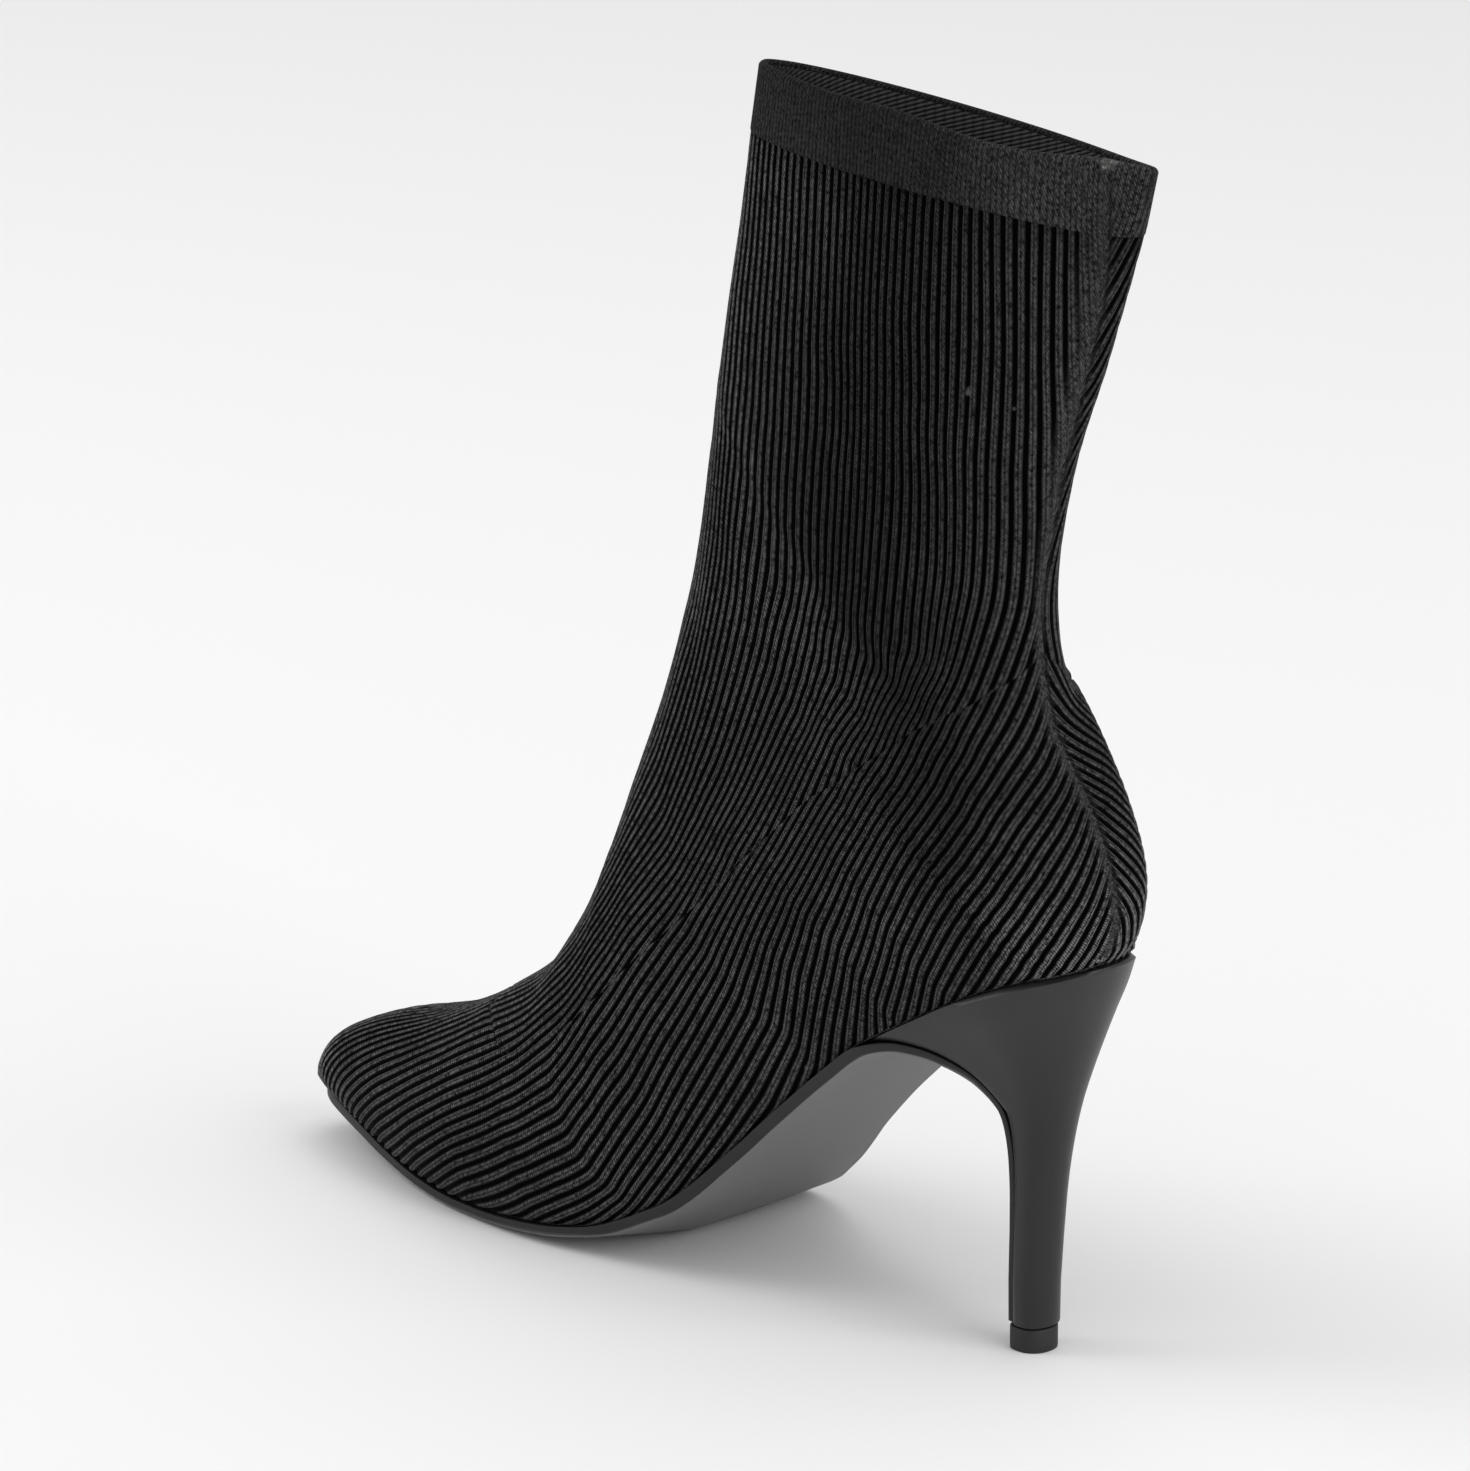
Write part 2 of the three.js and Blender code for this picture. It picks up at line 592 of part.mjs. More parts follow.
// The insole: inside the hem of the upper, on the outsole and on the seat of the heel.
// Its outline is the rim of the sole moved in by the tuck, the wall and the clearance.
function makeInsole() {
  const inset = tuck + wall + clearance;
  const last = bottom.length - 1;
  const rimPoint = (u, side) =>
    new THREE.Vector2(along(bottom, "at", u) * footLength - heelReach, along(bottom, side, u) * ballWidth);
  const movedIn = (u, side) => {
    const ahead = rimPoint(Math.max(0, u - 0.1), side);
    const behind = rimPoint(Math.min(last, u + 0.1), side);
    const run = ahead.sub(behind).normalize();
    const turn = side === "inner" ? 1 : -1;
    return rimPoint(u, side).add(new THREE.Vector2(turn * run.y, -turn * run.x).multiplyScalar(inset));
  };
  const strips = [];
  for (let u = 0; u <= last; u += u >= 7.5 && u < 14 ? 0.5 : 1) {
    const inner = movedIn(u, "inner");
    const outer = movedIn(u, "outer");
    if (inner.y - outer.y < 1.2) continue;
    const rows = { upper: [], lower: [] };
    for (let j = 0; j <= insoleSides; j++) {
      const p = inner.clone().lerp(outer, j / insoleSides);
      const slope = slopeAt(p.x);
      const bend = 1 / Math.hypot(1, slope);
      const z = seatAt(p.x, p.y) + clearance / bend;
      rows.lower.push(new THREE.Vector3(p.x, p.y, z));
      rows.upper.push(
        new THREE.Vector3(
          p.x - insoleThickness * slope * bend,
          p.y,
          z + insoleThickness * bend,
        ),
      );
    }
    strips.push(rows);
  }
  return sheet("insole", strips, { color: 0x303032, roughness: 0.8, metalness: 0 });
}

const boot = new THREE.Group();
boot.name = "sock_boot";
boot.add(makeUpper(), makeOutsole(), makeHeel(), makeTopPiece(), makeInsole());

export default boot;
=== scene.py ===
# %% [markdown]
# The piece is a sock boot: a ribbed knit upper pulled over a pointed last, a thin rubber sole
# and a slim covered heel. The solids of the boot come first, as a frame that fixes every size and place.
# Each surface below is then worked out again from the same sizes, finely enough to carry the knit,
# and takes the place of its solid.

import math

import bmesh
import bpy
import numpy as np
from mathutils import Matrix


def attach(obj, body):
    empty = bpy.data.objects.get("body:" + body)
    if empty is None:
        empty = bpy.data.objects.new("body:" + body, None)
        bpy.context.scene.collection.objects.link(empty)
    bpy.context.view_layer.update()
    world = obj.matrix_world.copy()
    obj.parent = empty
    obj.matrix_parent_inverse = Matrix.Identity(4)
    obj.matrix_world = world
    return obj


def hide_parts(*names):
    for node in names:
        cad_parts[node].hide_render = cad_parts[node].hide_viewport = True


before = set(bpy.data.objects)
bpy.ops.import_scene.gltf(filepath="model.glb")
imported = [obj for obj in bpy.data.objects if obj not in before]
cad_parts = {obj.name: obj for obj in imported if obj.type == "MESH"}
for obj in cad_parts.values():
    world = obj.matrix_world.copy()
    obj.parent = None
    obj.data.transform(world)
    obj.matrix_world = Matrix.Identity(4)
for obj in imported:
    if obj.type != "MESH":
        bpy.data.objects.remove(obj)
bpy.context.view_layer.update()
print("nodes", sorted(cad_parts))

# %% [markdown]
# A photograph of a shoe is taken from far away with a long lens, so that the heel isn't stretched.
# The camera here stands 2.3 metres off, a little above the boot, on its inner side behind the heel.
# Its place, its focal length and the shift of its frame were found by fitting the boot's outline.

# %% Camera
FRAME_WIDE, FRAME_HIGH = 1470, 1471
EYE = np.array([-1.51360, 1.50414, 0.78556])
LOOK = np.array([0.69672, -0.65760, -0.28661])
FOCAL = 10679.28  # in dots of the picture
SENSOR = 36
FAR_CLIP = 50
CENTRE = (773.58, 680.54)

look = LOOK / np.linalg.norm(LOOK)
side = np.cross(look, (0, 0, 1.0))
side /= np.linalg.norm(side)
rise = np.cross(side, look)
camera = bpy.data.objects.new("camera", bpy.data.cameras.new("camera"))
camera.matrix_world = Matrix(
    [[side[i], rise[i], -look[i], EYE[i]] for i in range(3)] + [[0, 0, 0, 1]]
)
camera.data.sensor_fit = "HORIZONTAL"
camera.data.sensor_width = SENSOR
camera.data.lens = FOCAL * SENSOR / FRAME_WIDE
camera.data.shift_x = (FRAME_WIDE / 2 - CENTRE[0]) / FRAME_WIDE
camera.data.shift_y = (CENTRE[1] - FRAME_HIGH / 2) / FRAME_WIDE
camera.data.clip_end = FAR_CLIP
bpy.context.scene.collection.objects.link(camera)
bpy.context.scene.camera = camera
print("lens", round(camera.data.lens, 1), "mm")

# %% [markdown]
# A shoemaker works from a last, a solid foot shape, and notes it as widths and heights at set stations.
# The tables below are such notes, as shares of a few named sizes in millimetres. The sections of the upper
# were not chosen by hand: a separate program fitted them to the outline in the photograph.
# Between two stations the numbers follow a smooth curve that passes through each of them.

# %% Sizes and tables of the last
FOOT_LENGTH = 231.6
HEEL_REACH = 20.6
BALL_WIDTH = 69.0
LAST_WIDTH = 71.0
SEAT_HEIGHT = 89.6
TOE_SPRING = 8.7
EDGE_LIFT = 4.6
FLAT_SHARE = 0.25
INSTEP_HEIGHT = 90.0
LEG_HEIGHT = 173.0
LEG_DEPTH = 116.0
WALL = 2.0
SOLE_THICKNESS = 2.6
FLAP_THICKNESS = 1.2
INSOLE_THICKNESS = 1.8
TUCK = 1.7
CLEARANCE = 0.3
HEEL_TIP_LENGTH = 7.9
HEEL_TIP_WIDTH = 10.6
TOP_PIECE_HEIGHT = 5.3
TOP_PIECE_INSET = 0.25
STEM_END = TOP_PIECE_HEIGHT + CLEARANCE
STEM_FRONT = 0.29  # share of the tip's length that lies ahead of the frame's origin
STEM_SQUARE = 3.0  # power of the outline: 2 is an ellipse, and more is squarer
STEM_FLAP = 0.66  # half width of the flap at the stem, against the tip's half width

# at, rise, spring, inner rim, outer rim, lift of the inner rim, lift of the outer rim
BOTTOM = np.array([
    [1.0, 0, 0.99, 0.185, 0.165, 0, 0],
    [0.993, 0, 0.96, 0.225, 0.115, 0, 0],
    [0.974, 0, 0.87, 0.268, 0.062, 0.02, 0.02],
    [0.94, 0, 0.74, 0.312, 0.004, 0.04, 0.04],
    [0.901, 0, 0.56, 0.352, -0.077, 0.05, 0.05],
    [0.854, 0, 0.34, 0.398, -0.17, 0.07, 0.07],
    [0.793, 0, 0.12, 0.45, -0.292, 0.1, 0.1],
    [0.729, 0, 0.0, 0.488, -0.4, 0.15, 0.12],
    [0.659, -0.002, 0, 0.502, -0.468, 0.2, 0.13],
    [0.594, -0.002, 0, 0.493, -0.501, 0.5, 0.18],
    [0.538, 0.005, 0, 0.463, -0.507, 1.0, 0.22],
    [0.503, 0.048, 0, 0.442, -0.495, 0.9, 0.16],
    [0.477, 0.103, 0, 0.432, -0.466, 0.5, 0.04],
    [0.451, 0.159, 0, 0.415, -0.434, 0.15, 0],
    [0.425, 0.222, 0, 0.392, -0.4, 0, 0],
    [0.4, 0.285, 0, 0.371, -0.367, 0, 0],
    [0.37, 0.359, 0, 0.352, -0.342, 0, 0],
    [0.344, 0.424, 0, 0.344, -0.331, 0, 0],
    [0.313, 0.497, 0, 0.34, -0.326, 0, 0],
    [0.287, 0.557, 0, 0.339, -0.326, 0, 0],
    [0.261, 0.614, 0, 0.338, -0.327, 0, 0],
    [0.236, 0.668, 0, 0.337, -0.328, 0, 0],
    [0.21, 0.712, 0, 0.335, -0.328, 0, 0],
    [0.177, 0.762, 0, 0.332, -0.327, 0, 0],
    [0.139, 0.818, 0, 0.326, -0.324, 0, 0],
    [0.101, 0.872, 0, 0.314, -0.314, 0, 0],
    [0.063, 0.918, 0, 0.284, -0.284, 0, 0],
    [0.037, 0.944, 0, 0.236, -0.236, 0, 0],
    [0.019, 0.956, 0, 0.174, -0.174, 0, 0],
    [0.006, 0.9635, 0, 0.1, -0.1, 0, 0],
    [0.0, 0.967, 0, 0, 0, 0, 0],
])
# back, up, reach, rise, half, widest, side, low, high, hem
SECTIONS = np.array([
    [0.998, 0, 0, 0.004, 0.002, 0.4, 0.168, 2, 2, 1],
    [0.992, 0, 0.009, 0.058, 0.086, 0.4, 0.167, 2, 2, 1],
    [0.968, 0, 0.031, 0.132, 0.139, 0.4, 0.162, 2, 2.1, 1],
    [0.94, 0, 0.038, 0.189, 0.188, 0.4, 0.15, 2, 2.2, 1],
    [0.888, 0, 0.04, 0.268, 0.276, 0.38, 0.123, 2, 2.2, 1],
    [0.809, 0, 0.05, 0.354, 0.386, 0.36, 0.084, 2, 2.2, 1],
    [0.722, 0, 0.058, 0.481, 0.474, 0.34, 0.045, 2, 2.1, 1],
    [0.625, 0, 0.087, 0.644, 0.501, 0.34, 0.01, 2, 2, 1],
    [0.524, 0, 0.178, 0.868, 0.485, 0.35, -0.008, 2, 2, 1],
    [0.423, 0, 0.297, 0.946, 0.432, 0.37, 0, 2, 2, 1],
    [0.323, 0, 0.422, 0.958, 0.41, 0.4, 0, 2, 2, 1],
    [0.224, 0, 0.574, 0.956, 0.4, 0.42, 0, 2, 2, 1],
    [0.125, 0, 0.75, 0.969, 0.393, 0.42, 0, 2, 2, 1],
    [0.056, 0, 0.879, 0.994, 0.388, 0.42, 0, 2, 2, 1],
    [0.022, 0, 0.942, 1.035, 0.383, 0.42, 0, 2.2, 2, 1],
    [0.008, 0, 0.966, 1.073, 0.375, 0.42, 0, 2.9, 2, 0],
    [-0.009, 0.03, 0.999, 1.05, 0.362, 0.42, 0, 2.8, 2, 0],
    [-0.014, 0.091, 1.009, 0.969, 0.344, 0.42, 0, 2.7, 2, 0],
    [0.018, 0.195, 0.943, 0.809, 0.322, 0.42, 0, 2.4, 2, 0],
    [0.07, 0.322, 0.834, 0.653, 0.297, 0.45, 0, 2.2, 2, 0],
    [0.083, 0.467, 0.797, 0.476, 0.272, 0.48, 0, 2.1, 2, 0],
    [0.058, 0.615, 0.834, 0.293, 0.245, 0.5, 0, 2.1, 2, 0],
    [0.012, 0.751, 0.908, 0.149, 0.212, 0.5, 0, 2.1, 2, 0],
    [-0.029, 0.896, 0.975, 0.038, 0.171, 0.5, 0, 2.1, 2, 0],
    [-0.052, 0.99, 0.999, 0.05, 0.127, 0.5, 0, 2.1, 2, 0],
])
# front, its height, back, its height, half width, crown, squareness, share of the flap
HEEL_ROWS = np.array([
    [0.112, 0.738, -0.0895, 0.997, 0.322, 0.029, 9, 0.96],
    [0.0915, 0.7375, -0.0835, 0.93, 0.283, 0.018, 8, 0.95],
    [0.0685, 0.724, -0.076, 0.866, 0.233, 0.009, 6.5, 0.93],
    [0.047, 0.695, -0.0675, 0.792, 0.184, 0.003, 4.5, 0.88],
    [0.0305, 0.654, -0.0575, 0.71, 0.1455, 0, 3.2, 0.8],
    [0.016, 0.593, -0.0482, 0.628, 0.1145, 0, 2.6, 0.72],
    [0.01, 0.514, -0.04, 0.534, 0.0965, 0, 2.6, 0.67],
    [0.008, 0.41, -0.0332, 0.423, 0.0855, 0, 2.8, 0.66],
    [0.0085, 0.29, -0.0285, 0.296, 0.0805, 0, 3.0, 0.66],
])
BACK, UP, REACH, RISE, HALF, WIDEST, SIDE, LOW, HIGH, HEM = range(10)
INNER_RIM, OUTER_RIM = 3, 4
COLLAR_ROW = len(SECTIONS) - 1


def along(table, u):
    """Rows of a table at places u between its rows: a cubic through the row before,
    the two rows on either side and the row after, with straight ends."""
    u = np.asarray(u, float)
    end = len(table) - 1
    i = np.clip(np.floor(u).astype(int), 0, end - 1)
    f = (u - i)[..., None]
    b, c = table[i], table[i + 1]
    a = np.where((i > 0)[..., None], table[np.maximum(i - 1, 0)], 2 * b - c)
    d = np.where((i < end - 1)[..., None], table[np.minimum(i + 2, end)], 2 * c - b)
    return b + 0.5 * f * (c - a + f * (2 * a - 5 * b + 4 * c - d + f * (3 * (b - c) + d - a)))


STATIONS = np.linspace(0, len(BOTTOM) - 1, 2401)
STATION_AT = along(BOTTOM, STATIONS)[:, 0]


def footprint(x):
    """Height of the sole's top face and places of its two rims at x along the foot."""
    at = (np.asarray(x, float) + HEEL_REACH) / FOOT_LENGTH
    row = along(BOTTOM, np.interp(-at, -STATION_AT, STATIONS))
    z = SOLE_THICKNESS + np.maximum(0, row[..., 1] * SEAT_HEIGHT + row[..., 2] * TOE_SPRING)
    return (z, row[..., INNER_RIM] * BALL_WIDTH, row[..., OUTER_RIM] * BALL_WIDTH,
            row[..., 5] * EDGE_LIFT, row[..., 6] * EDGE_LIFT)


def seat_at(x, y):
    """Height of the sole's top face: flat across the middle, rising to both rims."""
    z, inner, outer, lift_in, lift_out = footprint(x)
    half = np.maximum(1e-3, (inner - outer) / 2)
    off = (y - (inner + outer) / 2) / half
    share = np.clip((np.abs(off) - FLAT_SHARE) / (1 - FLAT_SHARE), 0, 1.2)
    return z + np.where(off > 0, lift_in, lift_out) * share


def slope_at(x):
    """Rise of the sole's top face for each millimetre forward."""
    return (footprint(np.asarray(x) + 1)[0] - footprint(np.asarray(x) - 1)[0]) / 2


def upper_surface(u, v):
    """A point of the upper. u picks the ring, from the toe (0) to the collar (24), and v goes round it,
    from the inner hem (-1) over the front ridge (0) to the outer hem (1). Each ring is flat:
    above its widest line it is half an ellipse, below it draws in to the hem."""
    c = along(SECTIONS, u)
    x0 = c[..., BACK] * FOOT_LENGTH - HEEL_REACH
    z, inner, outer, lift_in, lift_out = footprint(x0)
    z0 = z + CLEARANCE * np.hypot(1, slope_at(x0)) + np.maximum(0, c[..., UP]) * LEG_HEIGHT
    half = np.maximum(0.01, c[..., HALF] * LAST_WIDTH)
    middle = c[..., SIDE] * LAST_WIDTH
    near = v < 0
    open_share = np.clip(c[..., HEM], 0, 1)
    rim = np.where(near, inner - middle, middle - outer)
    hem = np.minimum(0.97 * half, np.maximum(0, rim - TUCK) * np.sqrt(open_share))
    a = np.abs(v)
    turn = np.where(a <= 0.5, a, a - 0.5) * np.pi
    cos, sin = np.maximum(0, np.cos(turn)), np.maximum(0, np.sin(turn))
    widest = c[..., WIDEST]
    t = np.where(a <= 0.5, widest + (1 - widest) * cos ** (2 / c[..., HIGH]), widest * (1 - sin))
    y = np.where(a <= 0.5, half * sin ** (2 / c[..., HIGH]),
                 hem + (half - hem) * cos ** (2 / c[..., LOW]))
    lift = open_share * (seat_at(x0, middle + np.where(near, hem, -hem)) - z)
    lift = lift * (1 - np.minimum(1, t / widest)) ** 2
    return np.stack([x0 + c[..., REACH] * LEG_DEPTH * t, middle + np.where(near, y, -y),
                     z0 + lift + c[..., RISE] * INSTEP_HEIGHT * t], -1)


print("collar top", upper_surface(np.array([COLLAR_ROW]), np.array([0.0])).round(1))

# %% [markdown]
# Every piece is a grid of points: rows along the piece, columns across it.
# The helper below keeps the four corners of each cell in order, drops the cells that shrink to nothing,
# and gives each corner its place on the cloth, which the knit pattern reads later.

# %% From grids to pieces
ROOT = "root"


def make_piece(name, points, cells, maps=None, values=None):
    """A mesh from points in millimetres and cells of four corners. Doubled corners are merged first,
    so a cell that has become a triangle keeps three corners and one that has become a line goes."""
    keys = np.round(points * 2000).astype(np.int64)
    _, first, back = np.unique(keys, axis=0, return_index=True, return_inverse=True)
    back = back.reshape(-1)
    cells = back[cells]
    same = cells == np.roll(cells, 1, axis=1)
    keep = (same.sum(1) <= 1) & (cells[:, 0] != cells[:, 2]) & (cells[:, 1] != cells[:, 3])
    cells, same = cells[keep], same[keep]
    corner = ~same
    counts = corner.sum(1)
    used = np.unique(cells)
    slot = np.full(len(first), -1)
    slot[used] = np.arange(len(used))
    mesh = bpy.data.meshes.new(name)
    mesh.vertices.add(len(used))
    mesh.vertices.foreach_set("co", (points[first[used]] * 0.001).astype(np.float32).ravel())
    loops = slot[cells[corner]]
    mesh.loops.add(len(loops))
    mesh.loops.foreach_set("vertex_index", loops.astype(np.int32))
    mesh.polygons.add(len(counts))
    starts = np.concatenate([[0], np.cumsum(counts)[:-1]])
    mesh.polygons.foreach_set("loop_start", starts.astype(np.int32))
    mesh.polygons.foreach_set("loop_total", counts.astype(np.int32))
    for map_name, corners in (maps or {}).items():
        layer = mesh.uv_layers.new(name=map_name)
        layer.data.foreach_set("uv", corners[keep][corner].astype(np.float32).ravel())
    for value_name, value in (values or {}).items():
        layer = mesh.attributes.new(value_name, "FLOAT", "POINT")
        layer.data.foreach_set("value", value[first[used]].astype(np.float32))
    mesh.update(calc_edges=True)
    mesh.validate()
    mesh.polygons.foreach_set("use_smooth", [True] * len(mesh.polygons))
    piece = bpy.data.objects.new(name, mesh)
    bpy.context.scene.collection.objects.link(piece)
    print(name, "triangles", sum(len(p.vertices) - 2 for p in mesh.polygons))
    return piece


def grid_cells(rows, columns, closed=False):
    """Corner numbers of every cell of a grid, with the last column joined to the first if closed."""
    i, j = np.meshgrid(np.arange(rows - 1), np.arange(columns if closed else columns - 1), indexing="ij")
    i, j = i.ravel(), j.ravel()
    k = (j + 1) % columns
    return np.stack([i * columns + j, i * columns + k, (i + 1) * columns + k, (i + 1) * columns + j], 1)


# %% [markdown]
# The knit is ribbed. On the leg the ribs run straight down; at the heel they leave the back seam
# one after another and slant forward to the edge of the sole; ahead of the ball they turn and run to the toe.
# A long gusset line from the back of the ankle to the vamp parts the ribs of the instep
# from the ribs of the side. So the columns of the grid are laid along the ribs themselves,
# four to a rib, and the valleys fall exactly on columns.

# %% Where the ribs run
CUFF_ROW = 23.2
SEAM_ROW = 15.5  # the back seam starts here, over the heel
FIRST_RIB = -6
RIB_STEP = 6
# Each line holds a row of the upper and then the distances (mm) from the front ridge of every sixth rib,
# from the first rib on. These two tables were not chosen by hand: a separate program fitted them
# to the pitch and the slant of the ribs in the photograph.
INSTEP_RIBS = np.array([
    [6, -25.7, -10, 5.6, 21.6, 38.3, 55.3, 72.6, 89.7, 106.6, 123.4, 140.1, 156.9],
    [7, -18.8, -3.7, 11.4, 26, 41.5, 58.9, 75.7, 92.5, 109.2, 125.9, 142.6, 159.2],
    [8, -14.3, 1.4, 17.1, 32, 46.5, 61.9, 78.3, 95, 111.7, 128.4, 145.1, 161.8],
    [9, -12.6, 4.9, 22.2, 36.9, 49.4, 64.3, 80.5, 96.9, 113.9, 131, 148.1, 165.2],
    [10, -12.6, 5.5, 24, 42.2, 55.3, 67.5, 81, 97.6, 115.7, 133.4, 151.2, 168.9],
    [11, -13.4, 4, 21.8, 40.9, 57.5, 68.8, 80.7, 97.9, 116.7, 133.9, 151, 168.1],
    [12, -15.4, 2.1, 19.6, 38.6, 57.4, 71.3, 82.7, 98.4, 116, 132.4, 148.7, 165],
    [13.5, -19.1, -1.1, 16.9, 36.4, 57.7, 74.5, 85.5, 99, 114.3, 130.1, 146.1, 162.1],
    [15, -23.4, -4.6, 14.1, 33.7, 56.9, 75.5, 87.4, 99.1, 112.3, 127.9, 144.1, 160.3],
    [16.5, -28.2, -8.5, 11.2, 30.7, 54.6, 73.9, 88.6, 98.9, 110.3, 125.7, 142.1, 158.5],
    [18, -33.5, -12.8, 7.9, 28.2, 50.5, 69.7, 85.8, 97.6, 108, 123.3, 139.8, 156.4],
    [19, -37.1, -15.8, 5.4, 26.6, 47.5, 66.1, 80.6, 95.3, 105.8, 121.6, 138, 154.3],
    [20, -40, -18.7, 2.7, 24, 42.9, 60.1, 73.6, 89, 102.4, 119.7, 135.5, 151.3],
    [21, -40, -20.5, -0.2, 19.6, 37.1, 53.3, 66.2, 80, 95.4, 113, 132.2, 149.6],
    [22, -38, -20.4, -2.9, 14.6, 31, 46.7, 59.8, 74.3, 91.2, 108, 125.1, 143.8],
    [23, -35.1, -20, -4.9, 10.1, 25.2, 41, 54.7, 69.3, 85.7, 104.5, 118.6, 134.2],
    [24, -33.2, -19.9, -6.6, 6.6, 20.5, 35, 49.3, 64.8, 80.1, 100, 114.8, 127.2],
])
SIDE_RIBS = np.array([
    [0, -9.7, 4.3, 18.4, 32.8, 47.4, 62.1, 76.8, 91.6, 106.4, 121.2, 136, 150.8, 165.6],
    [1, -11.8, 2.6, 17, 31.7, 46.5, 61.5, 76.5, 91.6, 106.7, 121.8, 136.9, 152, 167.1],
    [2, -14.1, 0.7, 15.5, 30.5, 45.6, 60.9, 76.2, 91.6, 107, 122.4, 137.8, 153.2, 168.6],
    [3, -16.9, -1.3, 14.1, 29.2, 44.6, 60.2, 75.9, 91.6, 107.3, 123, 138.7, 154.5, 170.2],
    [4, -20.8, -4, 12.8, 28, 43.5, 59.6, 75.6, 91.5, 107.5, 123.6, 139.8, 155.9, 172.1],
    [4.75, -22.6, -6.3, 10, 26.3, 42.1, 59.1, 75.4, 91.4, 107.7, 124.2, 140.7, 157.3, 173.8],
    [5.5, -27.9, -10.1, 7.7, 25.9, 42.1, 58.5, 75.3, 91.2, 107.8, 124.8, 141.9, 158.9, 175.9],
    [6.25, -25, -8.2, 8.7, 26.4, 43, 58.8, 77, 94.9, 112.1, 128.8, 145.5, 162.2, 178.8],
    [7, -23.7, -6.7, 10.3, 27.7, 44.2, 60.7, 80.2, 99.5, 116.1, 132.7, 149.3, 165.9, 182.4],
    [7.77, -21.9, -4.9, 12.1, 29.5, 48.4, 67, 88, 103.6, 119.8, 137, 154.1, 171.3, 188.5],
    [8.4, -19, -2.4, 14.3, 30.8, 47.5, 66.7, 86.8, 104.2, 121.3, 145.4, 169.4, 189.5, 189.5],
    [9, -16.5, 0, 16.4, 32.6, 49, 66.9, 85.3, 104, 124.7, 145.7, 166.6, 187.5, 189.5],
    [9.62, -14, 2.4, 18.8, 35.1, 51.3, 68.3, 84.6, 103.2, 121.7, 143.6, 165.5, 187.4, 189.5],
    [10.3, -13.1, 3.6, 20.3, 37.1, 54.1, 69.9, 83, 98.5, 117.1, 136.9, 156.8, 176.8, 189.5],
    [11, -12.2, 4.6, 21.5, 38.6, 55.9, 71.7, 83.4, 96.1, 112.8, 128.9, 145, 161.1, 177.1],
    [12, -11.1, 5.7, 22.6, 39.7, 56.9, 73.3, 86.2, 97.6, 111.8, 127.5, 143.2, 158.9, 174.6],
    [13, -9.9, 6.8, 23.7, 40.7, 57.8, 74.5, 88.9, 100.1, 113.1, 128.8, 145.5, 162.3, 179],
    [14, -8.8, 7.9, 24.8, 41.7, 58.6, 75.2, 90.4, 102.3, 115.2, 130.9, 147.7, 164.6, 181.4],
    [15, -7.7, 9, 25.8, 42.6, 59.3, 75.9, 91.2, 103.7, 116.6, 132.3, 148.9, 165.5, 182],
    [16, -6.6, 10.1, 26.8, 43.5, 60.1, 76.4, 91.7, 104.5, 117.5, 133.4, 149.7, 166, 182.4],
    [17, -5.5, 11.1, 27.8, 44.4, 60.8, 76.9, 91.7, 104.3, 118, 133.7, 149.8, 165.8, 181.9],
    [18, -4.5, 12.2, 28.8, 45.3, 61.5, 77.2, 91.3, 103.1, 116.5, 132.3, 148.4, 164.5, 180.6],
    [19, -3.4, 13.2, 29.7, 46.1, 62.2, 77.5, 90.8, 102.1, 114.1, 132.1, 151.9, 171.7, 189.5],
    [20, -2.3, 14.2, 30.7, 47, 62.9, 77.7, 90.3, 101.1, 112, 132.8, 155.4, 178, 189.5],
])
# The gusset line, as a distance (mm) round the ring from the front ridge. 999 puts it past the seam.
GUSSET = np.array([
    [0, 0], [5.9, 0], [6.15, 17.5], [6.5, 27], [6.85, 37], [7.3, 43], [8, 49], [9, 57], [10.25, 68.3],
    [13.25, 92], [16.7, 102], [18.2, 107], [19.15, 113], [19.6, 120], [19.8, 999], [24, 999],
])
# How far (mm) the back seam lies round to the inner side of the back.
SEAM_SHIFT = np.array([[0, 0], [20.8, 0], [21.3, 1.2], [21.7, 2.7], [22.5, 4.2], [23.3, 7.5], [24, 10]])


def table_at(table, u):
    """The second column of a table at rows u, straight between its rows."""
    return np.interp(u, table[:, 0], table[:, 1])


def fold_lean(u, s):
    """How far the fold lines of the side lean back towards the sole, in rows: a square of the distance."""
    return 0.6 * np.clip((s - 50) / 45, 0, 1.25) ** 2 * np.clip((13 - u) / 2.5, 0, 1)


def rib_places(table, u, soft, leaning):
    """Rib numbers in quarters and, for each row u, their distances from the ridge: straight between
    the table's rows, softened along the foot by a bell, and a smooth curve through every sixth rib.
    On the side the rows lean, so the answer is put back into the lean until it settles."""
    fine = np.linspace(-1, 25, 1301)
    bell = np.hanning(soft)[1:-1]
    columns = np.stack([np.convolve(np.interp(fine, table[:, 0], c), bell / bell.sum(), "same")
                        for c in table.T[1:]])
    numbers = np.arange(FIRST_RIB, FIRST_RIB + RIB_STEP * (len(columns) - 1) + 0.01, 0.25)
    places = []
    for line in along(columns, (numbers - FIRST_RIB) / RIB_STEP):
        s = np.interp(u, fine, line)
        for _ in range(12 if leaning else 0):
            s = 0.5 * s + 0.5 * np.interp(u - fold_lean(u, s), fine, line)
        places.append(s)
    return numbers, np.maximum.accumulate(np.array(places).T + 1e-6 * np.arange(len(numbers)), 1)


def ridge_and_rate(numbers, line, reach=60):
    """The rib number on the ridge, and the ribs to a millimetre over the reach beside it."""
    ridge, off = np.interp([0, reach], line, numbers)
    return ridge, (off - ridge) / reach


